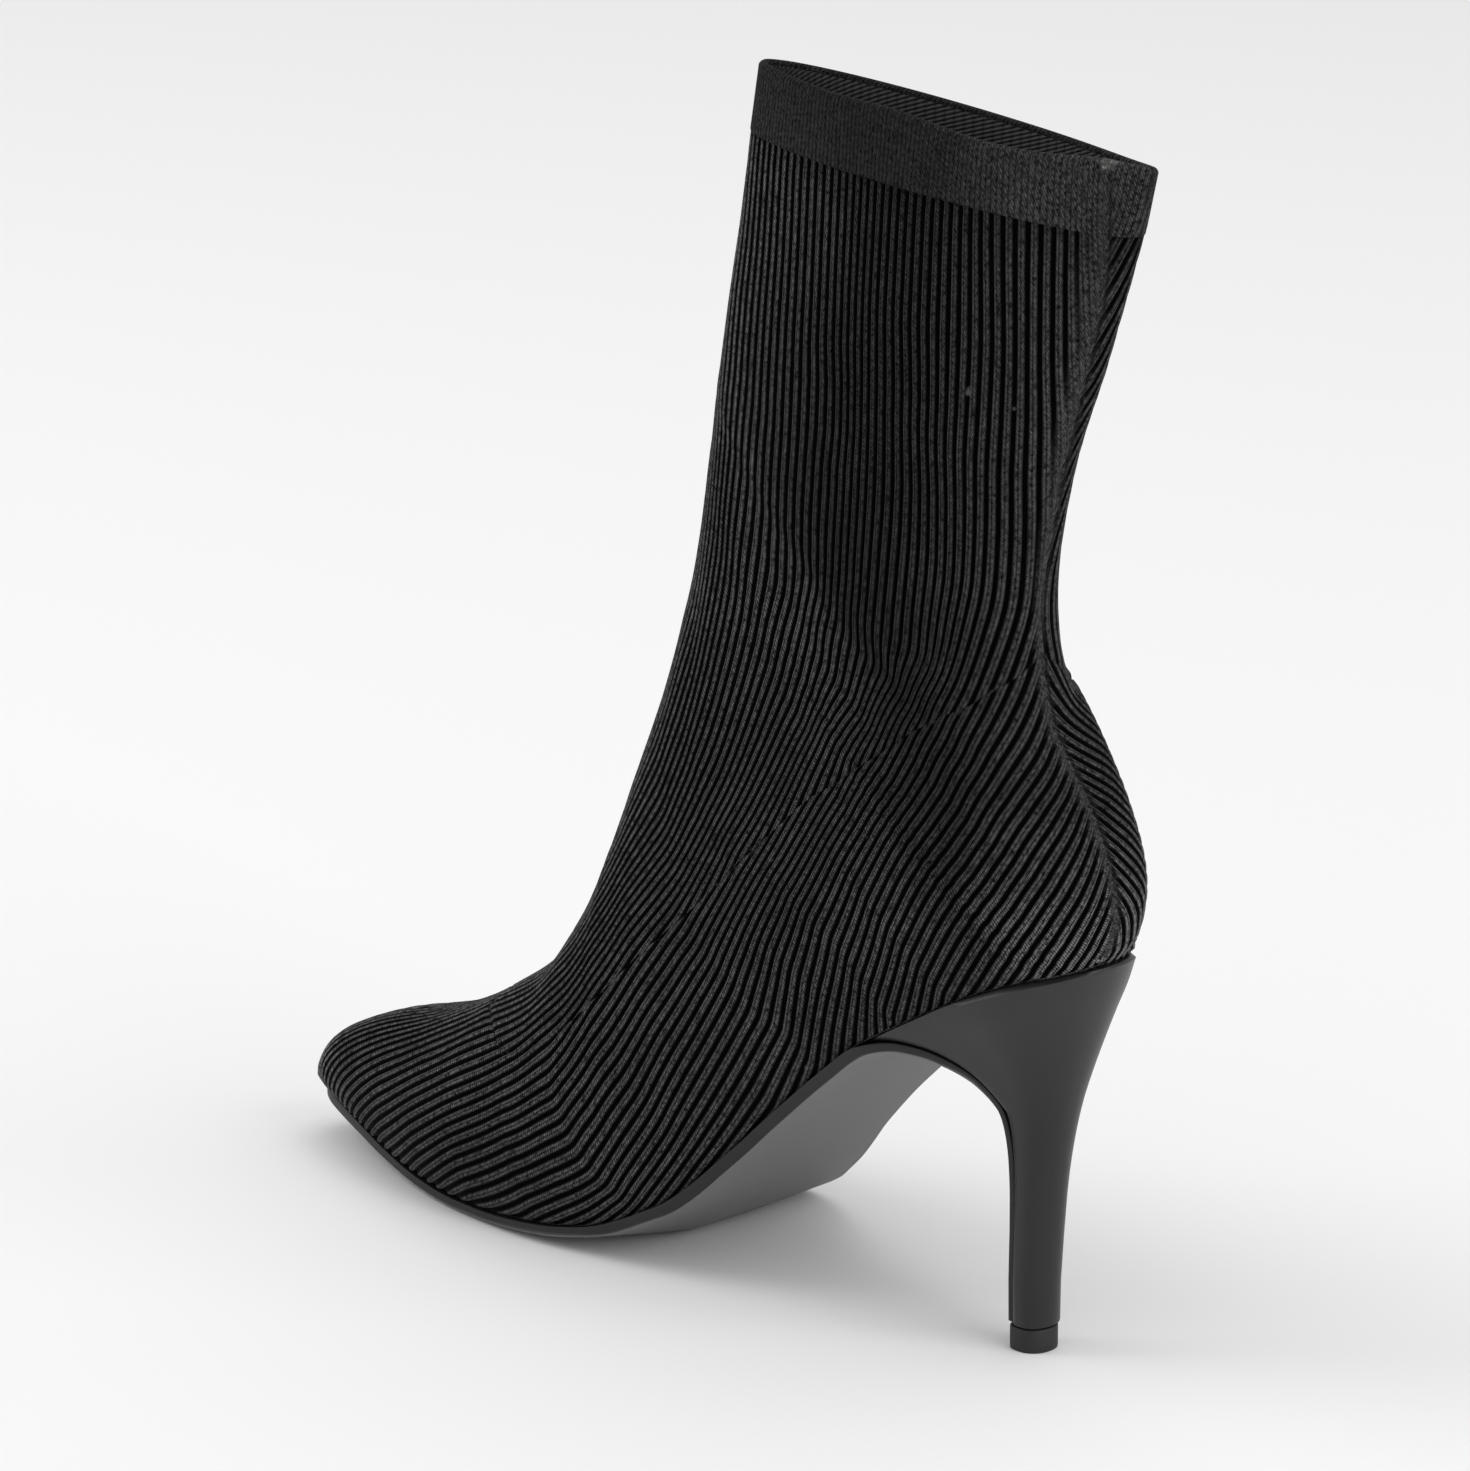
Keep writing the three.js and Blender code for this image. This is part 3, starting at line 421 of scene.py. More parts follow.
def rib_number(numbers, places, s):
    """The rib number at distances s of each row. Past the ridge the ribs go on at an even width."""
    found = []
    for line, here in zip(places, s):
        ridge, rate = ridge_and_rate(numbers, line)
        found.append(np.where(here < 0, ridge + here * rate, np.interp(here, line, numbers)))
    return np.array(found)


def rib_place(numbers, places, wanted):
    """The other way round: the distance from the ridge of rib numbers in each row."""
    found = []
    for line in places:
        ridge, rate = ridge_and_rate(numbers, line)
        found.append(np.where(wanted < ridge, (wanted - ridge) / rate, np.interp(wanted, numbers, line)))
    return np.array(found)


# %% Rings of the upper, evenly spaced
ROUND = np.linspace(-1.2, 1.2, 481)  # round the ring, positive on the inner side


def ring_turn(q):
    """Turns the round coordinate into the surface's v, wrapping at the back of the leg."""
    v = -q
    return np.where(v > 1, v - 2, np.where(v < -1, v + 2, v))


def even_rows(first, last, step):
    """Rows whose rings are about one step apart, averaged round the ring."""
    fine = np.linspace(first, last, 1601)
    probe = upper_surface(fine[:, None], np.linspace(-0.9, 0.9, 25)[None, :])
    gap = np.linalg.norm(np.diff(probe, axis=0), axis=-1)
    walk = np.concatenate([[0], np.cumsum(0.6 * gap.mean(1) + 0.4 * gap.max(1))])
    return np.interp(np.linspace(0, walk[-1], int(walk[-1] / step)), walk, fine)


rows = np.concatenate([
    [0.0], even_rows(0.04, CUFF_ROW - 0.06, 1.62), [CUFF_ROW - 0.022, CUFF_ROW, CUFF_ROW + 0.02],
    np.linspace(CUFF_ROW + 0.06, COLLAR_ROW, 10),
])
ring = upper_surface(rows[:, None], ring_turn(ROUND)[None, :])
steps = np.linalg.norm(np.diff(ring, axis=1), axis=-1)
walked = np.concatenate([np.zeros((len(rows), 1)), np.cumsum(steps, 1)], 1)
middle = len(ROUND) // 2
walked -= walked[:, middle:middle + 1]
inner_end = np.array([np.interp(1.0, ROUND, w) for w in walked])
outer_end = -np.array([np.interp(-1.0, ROUND, w) for w in walked])
inner_end -= table_at(SEAM_SHIFT, rows)
outer_end += table_at(SEAM_SHIFT, rows)
inner_line = np.minimum(table_at(GUSSET, rows), inner_end)
outer_line = np.minimum(table_at(GUSSET, rows), outer_end)
print("rings", len(rows), "longest half", inner_end.max().round(1), "mm")

# %% [markdown]
# Now the columns. Each has a rib phase, and its place on a ring follows from the rib tables.
# Where a rib has run out, at the gusset line, the seam or the sole, its columns are held at that line,
# so the cells beyond it shrink to nothing and the edge of the cloth stays clean.

# %% Columns along the ribs
BEATS = np.array([0, 0.2, 0.5, 0.8])  # valley, shoulder, crest, shoulder
U = rows[:, None]
leg_numbers, leg_places = rib_places(INSTEP_RIBS, rows, 27, False)
side_numbers, side_places = rib_places(SIDE_RIBS, rows, 9, True)
last_rib = int(leg_numbers[-1])
side_beats = (np.arange(FIRST_RIB, int(side_numbers[-1]))[:, None] + BEATS).ravel()
leg_beats = (np.arange(-last_rib, last_rib)[:, None] + BEATS).ravel()
inner_side = rib_place(side_numbers, side_places, side_beats)
outer_side = -inner_side[:, ::-1]
leg = rib_place(leg_numbers, leg_places, leg_beats)
outer_side = np.clip(outer_side, -outer_end[:, None], -outer_line[:, None])
inner_side = np.clip(inner_side, inner_line[:, None], inner_end[:, None])
leg = np.clip(leg, -outer_line[:, None], inner_line[:, None])
place = np.concatenate([outer_side, leg, inner_side], 1)
zone = np.concatenate([np.full(outer_side.shape[1], -1), np.zeros(leg.shape[1]),
                       np.full(inner_side.shape[1], 1)])[None, :] + np.zeros_like(U)
leg_phase = rib_number(leg_numbers, leg_places, place)
side_phase = rib_number(side_numbers, side_places, np.abs(place))
phase = np.where(zone == 0, leg_phase, side_phase)
q = np.stack([np.interp(place[i], walked[i], ROUND) for i in range(len(rows))])
print("grid", place.shape)


def surface_and_normal(u, q):
    """The upper's surface and its outward normal, from small steps along and round it."""
    here = upper_surface(u, ring_turn(q))
    du, dq = 0.02, 0.004
    low, high = np.clip(u - du, 0, COLLAR_ROW), np.clip(u + du, 0, COLLAR_ROW)
    a = upper_surface(high, ring_turn(q)) - upper_surface(low, ring_turn(q))
    b = upper_surface(u, ring_turn(q + dq)) - upper_surface(u, ring_turn(q - dq))
    n = np.cross(b, a)
    size = np.linalg.norm(n, axis=-1, keepdims=True)
    n = np.where(size > 1e-7, n / np.maximum(size, 1e-9), np.array([1.0, 0, 0]))
    return here, n


skin, outward = surface_and_normal(U + np.zeros_like(q), q)
CUFF_RING = -8  # a ring of the cuff, whose front has to face forward
front = np.argmin(np.abs(place[CUFF_RING]))
outward *= np.sign(outward[CUFF_RING, front, 0])
outward[0] = (1, 0, 0)
print("front of the collar faces", outward[CUFF_RING, front].round(2))

# %% [markdown]
# A knit pulled over a last isn't perfectly smooth. Soft troughs lie at the bend of the ankle,
# a shallow dent marks the slack leg, and two faint folds cross the ball.
# Each is a line on the surface with a depth and a width, pressed in as a bell-shaped groove.

# %% Creases of the leg and the ball
# first end (row, distance from the ridge), second end, depth outward (mm), width (mm)
CREASES = [
    ((21.6, 72), (20.2, 82), -1.1, 10.0),
    ((21.2, 52), (20.4, 58), -0.7, 9.0),
    ((19.5, 106), (17.2, 88), -1.3, 6.5),
    ((19.1, 88), (16.6, 70), 0.8, 7.0),
    ((18.6, 66), (15.0, 52), -0.8, 7.0),
    ((7.75, 50), (8.35, 95), 0.55, 3.2),
    ((8.35, 50), (9.0, 95), -0.35, 4.0),
    ((9.75, 60), (10.45, 108), -0.5, 3.6),
    ((6.1, 10), (7.1, 42), -0.15, 2.2),
    ((5.75, 28), (5.4, 56), -0.2, 2.5),
    ((12.0, 20), (10.5, 44), -0.5, 5.0),
]
OUTER_CREASE = 0.8  # the creases of the outer side mirror these, a little shallower


def on_surface(u, s):
    """The point of the upper at a row and a distance from its front ridge."""
    turns = np.linspace(0, np.sign(s), 241)
    line = upper_surface(np.full(len(turns), float(u)), ring_turn(turns))
    gone = np.concatenate([[0], np.cumsum(np.linalg.norm(np.diff(line, axis=0), axis=1))])
    return np.array([np.interp(abs(s), gone, line[:, k]) for k in range(3)])


def press(points, start, stop, depth, width):
    """Depth times a bell of the distance to the segment, faded at both ends."""
    a, b = on_surface(*start), on_surface(*stop)
    t = ((points - a) @ (b - a)) / ((b - a) @ (b - a))
    near_point = a + np.clip(t, 0, 1)[..., None] * (b - a)
    away = np.linalg.norm(points - near_point, axis=-1)
    ends = np.clip(0.5 + 2.2 * (0.5 - np.abs(t - 0.5)), 0, 1)
    return depth * ends * np.exp(-((away / width) ** 2))


crease = np.zeros(place.shape)
for start, stop, depth, width in CREASES:
    crease += press(skin, start, stop, depth, width)
    mirrored = [(start[0], -start[1]), (stop[0], -stop[1])]
    crease += press(skin, *mirrored, depth * OUTER_CREASE, width)
print("creases from", crease.min().round(2), "to", crease.max().round(2), "mm")

# %% Relief of the ribs, the cuff and the seam
RIB_HIGH, RIB_LOW = 0.25, -0.8
CUFF_STEP = 0.4
FAR_AWAY = 99.0
to_inner_end, to_outer_end = inner_end[:, None] - place, place + outer_end[:, None]
to_end = np.minimum(to_inner_end, to_outer_end)
to_seam = np.where(U > SEAM_ROW, to_end, FAR_AWAY)
signed_seam = np.where(place > 0, to_inner_end, -to_outer_end)
to_gusset = np.where(zone == 0, np.minimum(inner_line[:, None] - place, place + outer_line[:, None]),
                     np.abs(place) - np.where(zone > 0, inner_line[:, None], outer_line[:, None]))
wedge = 1.0 + (1.6 * np.exp(-((U - 21.2) / 1.1) ** 2) + 3.4 * np.exp(-((U - 22.9) / 0.8) ** 2)) * (place > 0)
seam_fade = np.clip((to_seam - 0.5 * wedge) / wedge, 0, 1)
ribbed = (U < CUFF_ROW - 0.01) * seam_fade * np.clip(U / 0.5, 0, 1)
beat = phase - np.floor(phase)
profile = 1 - np.abs(2 * beat - 1) ** 1.9
relief = ribbed * (RIB_LOW + (RIB_HIGH - RIB_LOW) * profile)
relief += np.where(U >= CUFF_ROW, CUFF_STEP, 0)
relief += np.where(U < CUFF_ROW - 0.01, (1 - seam_fade) * -0.15, 0)
relief -= 0.3 * np.exp(-(to_seam / 0.7) ** 2)
relief -= 0.25 * np.exp(-(to_gusset / 0.9) ** 2) * (U < 19.5) * (U > 6.0)
knit_points = skin + outward * (relief + crease)[..., None]

# %% The uneven rim of the cuff
# The rim isn't cut level: on the inner side it waves once, and it stands up a little at the back seam.
rim_lift = (0.9 * np.exp(-((place - 50) / 13) ** 2) - 0.3 * np.exp(-((place - 76) / 10) ** 2)
            + 2.2 * np.exp(-(signed_seam / 15) ** 2))
knit_points[..., 2] += rim_lift * np.clip((U - CUFF_ROW) / (COLLAR_ROW - CUFF_ROW), 0, 1) ** 1.5

# %% The rolled rim and the turned-in hem
# inward and over the rim (mm), ring by ring
ROLL = [(0.35, 0.55), (0.8, 0.85), (1.4, 0.85), (1.85, 0.5), (2.1, -0.2), (2.15, -2.0)]
HEM_TURN = 2.0
NO_HEM = 20
collar_point, collar_out = knit_points[-1], outward[-1]
up_leg = knit_points[-1] - knit_points[-4]
up_leg /= np.linalg.norm(up_leg, axis=-1, keepdims=True)
roll = np.stack([collar_point - collar_out * inward + up_leg * over for inward, over in ROLL])
knit_points = np.concatenate([knit_points, roll])
all_rows = np.concatenate([rows, COLLAR_ROW + 0.03 * np.arange(1, len(ROLL) + 1)])
surface_rows = all_rows.clip(0, COLLAR_ROW)
extend = lambda grid: np.concatenate([grid, np.repeat(grid[-1:], len(ROLL), 0)])
leg_all, side_all, zone_all = extend(leg_phase), extend(side_phase), extend(zone)
seam_all, gusset_all, ribbed_all = extend(signed_seam), extend(to_gusset), extend(ribbed)
hem_all = extend(np.where(U < SEAM_ROW, to_end, NO_HEM))

hem_open = np.clip(along(SECTIONS, all_rows)[:, HEM], 0, 1) > 0.02
turn_in = np.where(hem_open & (all_rows > 0.1), HEM_TURN, 0.0)
sides = []
for end in (0, -1):
    edge = knit_points[:, end].copy()
    _, inner, outer, _, _ = footprint(edge[:, 0])
    to_middle = (inner + outer) / 2 - edge[:, 1]
    edge[:, 1] += np.sign(to_middle) * np.minimum(turn_in, 0.6 * np.abs(to_middle))
    edge[:, 2] = np.where(turn_in > 0, seat_at(edge[:, 0], edge[:, 1]) + 0.05, edge[:, 2])
    sides.append(edge)
knit_points = np.concatenate([sides[0][:, None], knit_points, sides[1][:, None]], 1)
widen = lambda grid: np.concatenate([grid[:, :1], grid, grid[:, -1:]], 1)

# %% Length along the ribs, for the stitches
ROLL_RUN = 0.6  # the cloth between two rings of the rolled rim (mm)
probe_turn = np.linspace(-1, 1, 41)
lengthwise = upper_surface(surface_rows[:, None], probe_turn[None, :])
gone = np.cumsum(np.linalg.norm(np.diff(lengthwise, axis=0), axis=-1), 0)
run = np.concatenate([np.zeros((1, len(probe_turn))), gone])
run[len(rows):] += np.cumsum([ROLL_RUN] * len(ROLL))[:, None]
course = np.stack([np.interp(turn, probe_turn, line)
                   for turn, line in zip(ring_turn(widen(extend(q))), run)])

# %% The knit upper as one piece
cells = grid_cells(len(all_rows), knit_points.shape[1])
flat = lambda grid: widen(grid).reshape(-1)
zones = flat(zone_all)
cell_zone = zones[cells]
cell_zone = np.where(np.abs(cell_zone).max(1) > 0, np.sign(cell_zone.sum(1)), 0)
row_of = np.repeat(surface_rows, knit_points.shape[1])
corner_phase = np.where(cell_zone[:, None] == 0, flat(leg_all)[cells],
                        flat(side_all)[cells] * cell_zone[:, None])
MAP_SCALE = [10, 100]  # ribs and millimetres to one unit of the knit map
knit_map = np.stack([corner_phase, course.reshape(-1)[cells]], -1) / MAP_SCALE
SEAM_SCALE = 10  # millimetres to one unit of the map of the seams
seam_map = np.stack([flat(seam_all)[cells], flat(gusset_all)[cells]], -1) / SEAM_SCALE
knit_upper = make_piece(
    "knit_upper", knit_points.reshape(-1, 3), cells,
    maps={"knit": knit_map, "seams": seam_map},
    values={"ribbed": flat(ribbed_all), "row": row_of, "hem": flat(hem_all)},
)

# %% [markdown]
# Inside, the sock is the back of the same knit, seen through the collar.
# It follows the outer surface two millimetres in, so a plain inset of the rings is enough.

# %% The inside of the sock
INSIDE_RIBS = 42
inside_rows = np.concatenate([[0.3, 0.8], even_rows(1.2, COLLAR_ROW, 4.0)])
inside_turn = np.linspace(-1, 1, 129)
ridge = len(inside_turn) // 2
row_grid, turn_grid = np.meshgrid(inside_rows, inside_turn, indexing="ij")
inside, inside_out = surface_and_normal(row_grid, turn_grid)
inside_out *= np.sign(inside_out[-3, ridge, 0])
inside = inside - inside_out * WALL
inside[-1] += (0, 0, 0.1)
inside_cells = grid_cells(len(inside_rows), len(inside_turn))[:, ::-1]
gone = np.concatenate([[0], np.cumsum(np.linalg.norm(np.diff(inside[:, ridge], axis=0), axis=1))])
inside_map = np.stack([(turn_grid * INSIDE_RIBS).reshape(-1)[inside_cells],
                       np.repeat(gone, len(inside_turn))[inside_cells]], -1) / MAP_SCALE
sock_inside = make_piece("sock_inside", inside.reshape(-1, 3), inside_cells, maps={"knit": inside_map})

# %% [markdown]
# The outsole is a thin sheet of rubber under the foot. At the heel it doesn't stop:
# it bends down over the front of the heel and runs as a flap to the heel's tip.
# Its section is carried along the foot and down the flap, with a small round on both edges.

# %% Outsole with its heel flap
def carried_sheet(name, stations, rounding):
    """Sections along a path, each given by its top line and its bottom line. Each edge is half a circle
    from top to bottom that stands out by the rounding, so the section closes on itself."""
    turns = np.linspace(0, np.pi, 7)[1:-1]

    def edge(top, low, k):
        out = (top[k] - top[len(top) // 2]) * [1, 1, 0]
        out = out / max(np.linalg.norm(out), 1e-6)
        t = (1 - np.cos(turns)) / 2
        return top[k] + (low[k] - top[k]) * t[:, None] + out * (np.sin(turns) * rounding)[:, None]

    loops = np.array([np.concatenate([top, edge(top, low, -1), low[::-1], edge(top, low, 0)[::-1]])
                      for top, low in stations])
    count, n = loops.shape[1], len(stations[0][0])
    cells = [grid_cells(len(loops), count, closed=True)]
    for base, flip in ((0, False), ((len(loops) - 1) * count, True)):
        top_ids = base + np.arange(n)
        low_ids = base + n + len(turns) + np.arange(n)[::-1]
        quad = np.stack([top_ids[:-1], low_ids[:-1], low_ids[1:], top_ids[1:]], 1)
        cells.append(quad[:, ::-1] if flip else quad)
    piece = make_piece(name, loops.reshape(-1, 3), np.concatenate(cells))
    face_outwards(piece)
    return piece


SHARP_ANGLE = math.radians(40)


def face_outwards(piece):
    """Turns every face of a closed piece outwards and marks its sharp edges."""
    shell = bmesh.new()
    shell.from_mesh(piece.data)
    bmesh.ops.recalc_face_normals(shell, faces=shell.faces)
    shell.to_mesh(piece.data)
    shell.free()
    piece.data.set_sharp_from_angle(angle=SHARP_ANGLE)


HEEL_LIP = HEEL_ROWS[0, 0] * FOOT_LENGTH
LIP_REACH = 5.2  # the heel cover runs out in a thin tongue between the upper and the sole
SHEET_COLUMNS = 33


def foot_section(x, narrow=0.965):
    """The sole's section at x: its top line from rim to rim, and its bottom line a little narrower.
    Just ahead of the heel the top line dips, by a square of the distance, to let the heel's tongue in."""
    z, inner, outer, _, _ = footprint(x)
    y = inner + (outer - inner) * np.linspace(0, 1, SHEET_COLUMNS)
    slope = float(slope_at(x))
    bend = 1 / math.hypot(1, slope)
    before_lip = max(0, HEEL_LIP + LIP_REACH + 1.2 - x)
    top = np.stack([np.full(SHEET_COLUMNS, x), y, seat_at(x, y) - 0.085 * before_lip ** 2], 1)
    down = np.minimum(SOLE_THICKNESS, top[:, 2])
    y_low = (inner + outer) / 2 + (y - (inner + outer) / 2) * narrow
    low_z = seat_at(x, y) - down * bend
    low = np.stack([x + down * slope * bend, y_low, np.maximum(0, low_z)], 1)
    return top, low


at_fine = along(BOTTOM, np.arange(0, len(BOTTOM) - 1, 0.2))[:, 0] * FOOT_LENGTH - HEEL_REACH
stations = [foot_section(x) for x in at_fine if x > HEEL_LIP + 4.2]
across = np.linspace(1, -1, SHEET_COLUMNS)


def flat_section(top_x, top_z, low_x, low_z, half, narrow=0.965):
    """A section of the flap: two straight lines across the boot."""
    line = lambda x, z, h: np.stack([x + 0 * across, across * h, z + 0 * across], 1)
    return line(top_x, top_z, half), line(low_x, low_z, half * narrow)


def flat_share(u):
    """1 where the breast of the heel is broad and square, fading to 0 where it has become the stem."""
    return np.clip((5.0 - u) / 2.5, 0, 1)


def heel_front(u):
    """The heel's front line at row u of its table, with the flap's half width there."""
    row = along(HEEL_ROWS, u)
    share = row[7] + (0.995 - row[7]) * flat_share(u)
    return np.array([row[0] * FOOT_LENGTH, row[1] * SEAT_HEIGHT, row[4] * share * BALL_WIDTH])


FLAP_SINK = 0.15  # the flap's inner face lies this far inside the heel's front (mm)
flap = []
for u in np.arange(1, len(HEEL_ROWS) - 0.99, 0.125):
    here, before, after = heel_front(u), heel_front(u - 0.15), heel_front(min(u + 0.15, len(HEEL_ROWS) - 1))
    span = np.hypot(after[0] - before[0], after[1] - before[1])
    nx, nz = (before[1] - after[1]) / span, (after[0] - before[0]) / span
    gap, out = -FLAP_SINK - 0.5 * float(flat_share(u)), CLEARANCE + FLAP_THICKNESS
    flap.append(flat_section(here[0] + gap * nx, here[1] + gap * nz,
                             here[0] + out * nx, here[1] + out * nz, here[2], 0.97))

# The sheet turns over the lip in one smooth bend, a Hermite curve: it leaves along the foot,
# arrives along the flap, and both pulls are nearly as long as the straight way between.
leave, land = np.array(stations[-2:]), np.array(flap[:2])
way = np.linalg.norm(land[0] - leave[1], axis=-1, keepdims=True)
pulls = [(pair[1] - pair[0]) / np.linalg.norm(pair[1] - pair[0], axis=-1, keepdims=True) * way * 0.9
         for pair in (leave, land)]
bend = [tuple((2 * t ** 3 - 3 * t ** 2 + 1) * leave[1] + (t ** 3 - 2 * t ** 2 + t) * pulls[0]
              + (3 * t ** 2 - 2 * t ** 3) * land[0] + (t ** 3 - t ** 2) * pulls[1])
        for t in np.linspace(0, 1, 13)[1:-1]]
stations += bend + flap
end_half = STEM_FLAP * HEEL_TIP_WIDTH / 2
for up, long, wide in ((15, 1.02, 1.02), (STEM_END, 1.0, 1.0)):
    x = STEM_FRONT * HEEL_TIP_LENGTH * long
    outer_x = x + CLEARANCE + FLAP_THICKNESS
    stations.append(flat_section(x - FLAP_SINK, up, outer_x, up, end_half * wide, 0.96))
rubber_sole = carried_sheet("rubber_sole", stations, 0.22)

# %% Insole
def moved_in(u, rim):
    """A rim of the last at table row u, moved in square to its run by what the upper takes."""
    inset = TUCK + WALL + CLEARANCE

    def point(k):
        row = along(BOTTOM, k)
        return np.array([row[0] * FOOT_LENGTH - HEEL_REACH, row[rim] * BALL_WIDTH])

    run = point(max(0, u - 0.1)) - point(min(len(BOTTOM) - 1, u + 0.1))
    run /= np.linalg.norm(run)
    turn = 1 if rim == INNER_RIM else -1
    return point(u) + inset * turn * np.array([run[1], -run[0]])


boards = []
for u in np.arange(0, len(BOTTOM) - 1, 0.25):
    inner, outer = moved_in(u, INNER_RIM), moved_in(u, OUTER_RIM)
    if inner[1] - outer[1] < 1.2:
        continue
    t = np.linspace(0, 1, 25)[:, None]
    p = inner + (outer - inner) * t
    slope = slope_at(p[:, 0])
    bend = 1 / np.hypot(1, slope)
    z = seat_at(p[:, 0], p[:, 1]) + CLEARANCE / bend
    low = np.stack([p[:, 0], p[:, 1], z], 1)
    top = np.stack([p[:, 0] - INSOLE_THICKNESS * slope * bend, p[:, 1], z + INSOLE_THICKNESS * bend], 1)
    boards.append((top, low))
sock_lining = carried_sheet("sock_lining", boards, 0.3)

# %% [markdown]
# The heel block is a stack of rings. Its front half is squarer than its back, so the breast is almost flat
# and the back is round. The top ring follows the seat of the sole, and the stem ends in a small chamfer.

# %% Heel block
def ring_outline(front, back, half, square, sides):
    """A ring seen from above: a squarish curve in front and a near ellipse behind."""
    middle = back + 0.53 * (front - back)
    angle = np.linspace(0, 2 * np.pi, sides, endpoint=False)
    c, s = np.cos(angle), np.sin(angle)
    n = np.where(c > 0, square, 2.2)
    x = np.sign(c) * np.abs(c) ** (2 / n) * np.where(c > 0, front - middle, middle - back)
    y = np.sign(s) * np.abs(s) ** (2 / n) * half
    return middle + x, y


SIDES = 128
BREAST_SQUARE = 9.0
rings = []
top_row = HEEL_ROWS[0]
x, y = ring_outline(HEEL_LIP + LIP_REACH, -HEEL_REACH, top_row[4] * BALL_WIDTH, top_row[6], SIDES)
z, inner, outer, _, _ = footprint(x)
rim = np.where(y >= 0, inner, -outer)
y = np.sign(y) * np.minimum(np.abs(y), np.maximum(0, rim))
seat_ring = np.stack([x, y, seat_at(x, y)], 1)
for u in np.concatenate([[0.12], np.arange(0.25, len(HEEL_ROWS) - 0.99, 0.125)]):
    front, front_up, back, back_up, half, crown, square, _ = along(HEEL_ROWS, u)
    front, back = front * FOOT_LENGTH, back * FOOT_LENGTH
    square = square + (BREAST_SQUARE - square) * flat_share(u)
    x, y = ring_outline(front, back, half * BALL_WIDTH, square, SIDES)
    t = (x - back) / (front - back)
    z = SEAT_HEIGHT * (back_up + (front_up - back_up) * t + crown * 4 * t * (1 - t))
    rings.append(np.stack([x, y, z], 1))
drop = rings[0] - seat_ring
centre = np.array([seat_ring[:, 0].mean(), 0, 0])
for share, shrink in ((0.12, 0.997), (0.02, 0.985)):
    edge = seat_ring + drop * share
    edge[:, :2] = centre[:2] + (edge[:, :2] - centre[:2]) * shrink
    rings.insert(0, edge)
# height, half width, length, inset of the chamfer
STEM_RINGS = ((15, 0.51, 1.02, 0), (STEM_END + 0.5, 0.5, 1, 0),
              (STEM_END + 0.15, 0.5, 1, 0.15), (STEM_END, 0.5, 1, 0.45))
for up, half, long, inset in STEM_RINGS:
    x, y = ring_outline(STEM_FRONT * HEEL_TIP_LENGTH * long - inset,
                        (STEM_FRONT - 1) * HEEL_TIP_LENGTH * long + inset,
                        half * HEEL_TIP_WIDTH - inset, STEM_SQUARE, SIDES)
    rings.append(np.stack([x, y, np.full(SIDES, up)], 1))


def closed_stack(name, rings):
    """Rings joined side by side, with a flat fan of cells over each end."""
    sides = len(rings[0])
    cells = [grid_cells(len(rings), sides, closed=True)]
    k = np.arange(sides // 2)
    for base, turned in ((0, False), ((len(rings) - 1) * sides, True)):
        fan = np.stack([base + k, base + k + 1, base + (-k - 1) % sides, base + (-k) % sides], 1)
        cells.append(fan[:, ::-1] if turned else fan)
    piece = make_piece(name, np.concatenate(rings), np.concatenate(cells))
    face_outwards(piece)
    return piece


covered_heel = closed_stack("covered_heel", rings)

# %% Top piece of the heel
TIP_SIDES = 96
tip_rings = []
for up, inset in ((TOP_PIECE_HEIGHT, 0.35), (TOP_PIECE_HEIGHT - 0.1, 0.1), (TOP_PIECE_HEIGHT - 0.35, 0),
                  (0.6, 0), (0.15, 0.08), (0.0, 0.3)):
    x, y = ring_outline(STEM_FRONT * HEEL_TIP_LENGTH + CLEARANCE + FLAP_THICKNESS - TOP_PIECE_INSET - inset,
                        (STEM_FRONT - 1) * HEEL_TIP_LENGTH + TOP_PIECE_INSET + inset,
                        HEEL_TIP_WIDTH / 2 - TOP_PIECE_INSET - inset, STEM_SQUARE, TIP_SIDES)
    tip_rings.append(np.stack([x, y, np.full(TIP_SIDES, up)], 1))
heel_tip = closed_stack("heel_tip", tip_rings)

# %% [markdown]
# Finishes are node trees, and writing them node by node hides the sums behind them.
# The small class below wraps a socket, so that a sum on sockets reads like a sum on numbers
# and adds its Math nodes as it goes. Everything else comes from one method that makes any node.

# %% Sums on sockets
class Wire:
    """An output socket that can be added, multiplied, compared and bent like a number."""

    def __init__(self, finish, socket):
        self.finish, self.socket = finish, socket

    def sum(self, operation, *others, clamp=False):
        node = self.finish.node("ShaderNodeMath", {"operation": operation, "use_clamp": clamp},
                                *([self] + list(others)))
        return Wire(self.finish, node.outputs[0])

    def __add__(self, other):
        return self.sum("ADD", other)

    def __mul__(self, other):
        return self.sum("MULTIPLY", other)

    __radd__, __rmul__ = __add__, __mul__

    def __sub__(self, other):
        return self.sum("SUBTRACT", other)

    def __rsub__(self, other):
        return self.finish.number(other).sum("SUBTRACT", self)

    def __truediv__(self, other):
        return self.sum("DIVIDE", other)

    def __neg__(self):
        return self.sum("MULTIPLY", -1.0)

    def __pow__(self, other):
        return self.sum("POWER", other)

    def __abs__(self):
        return self.sum("ABSOLUTE")

    def fraction(self):
        return self.sum("FRACT")

    def kept(self):
        """The same number, but never below 0 or above 1."""
        return self.sum("ADD", 0.0, clamp=True)

    def ramp(self, low, high):
        """0 below low and 1 above high, straight between."""
        return ((self - low) / (high - low)).kept()


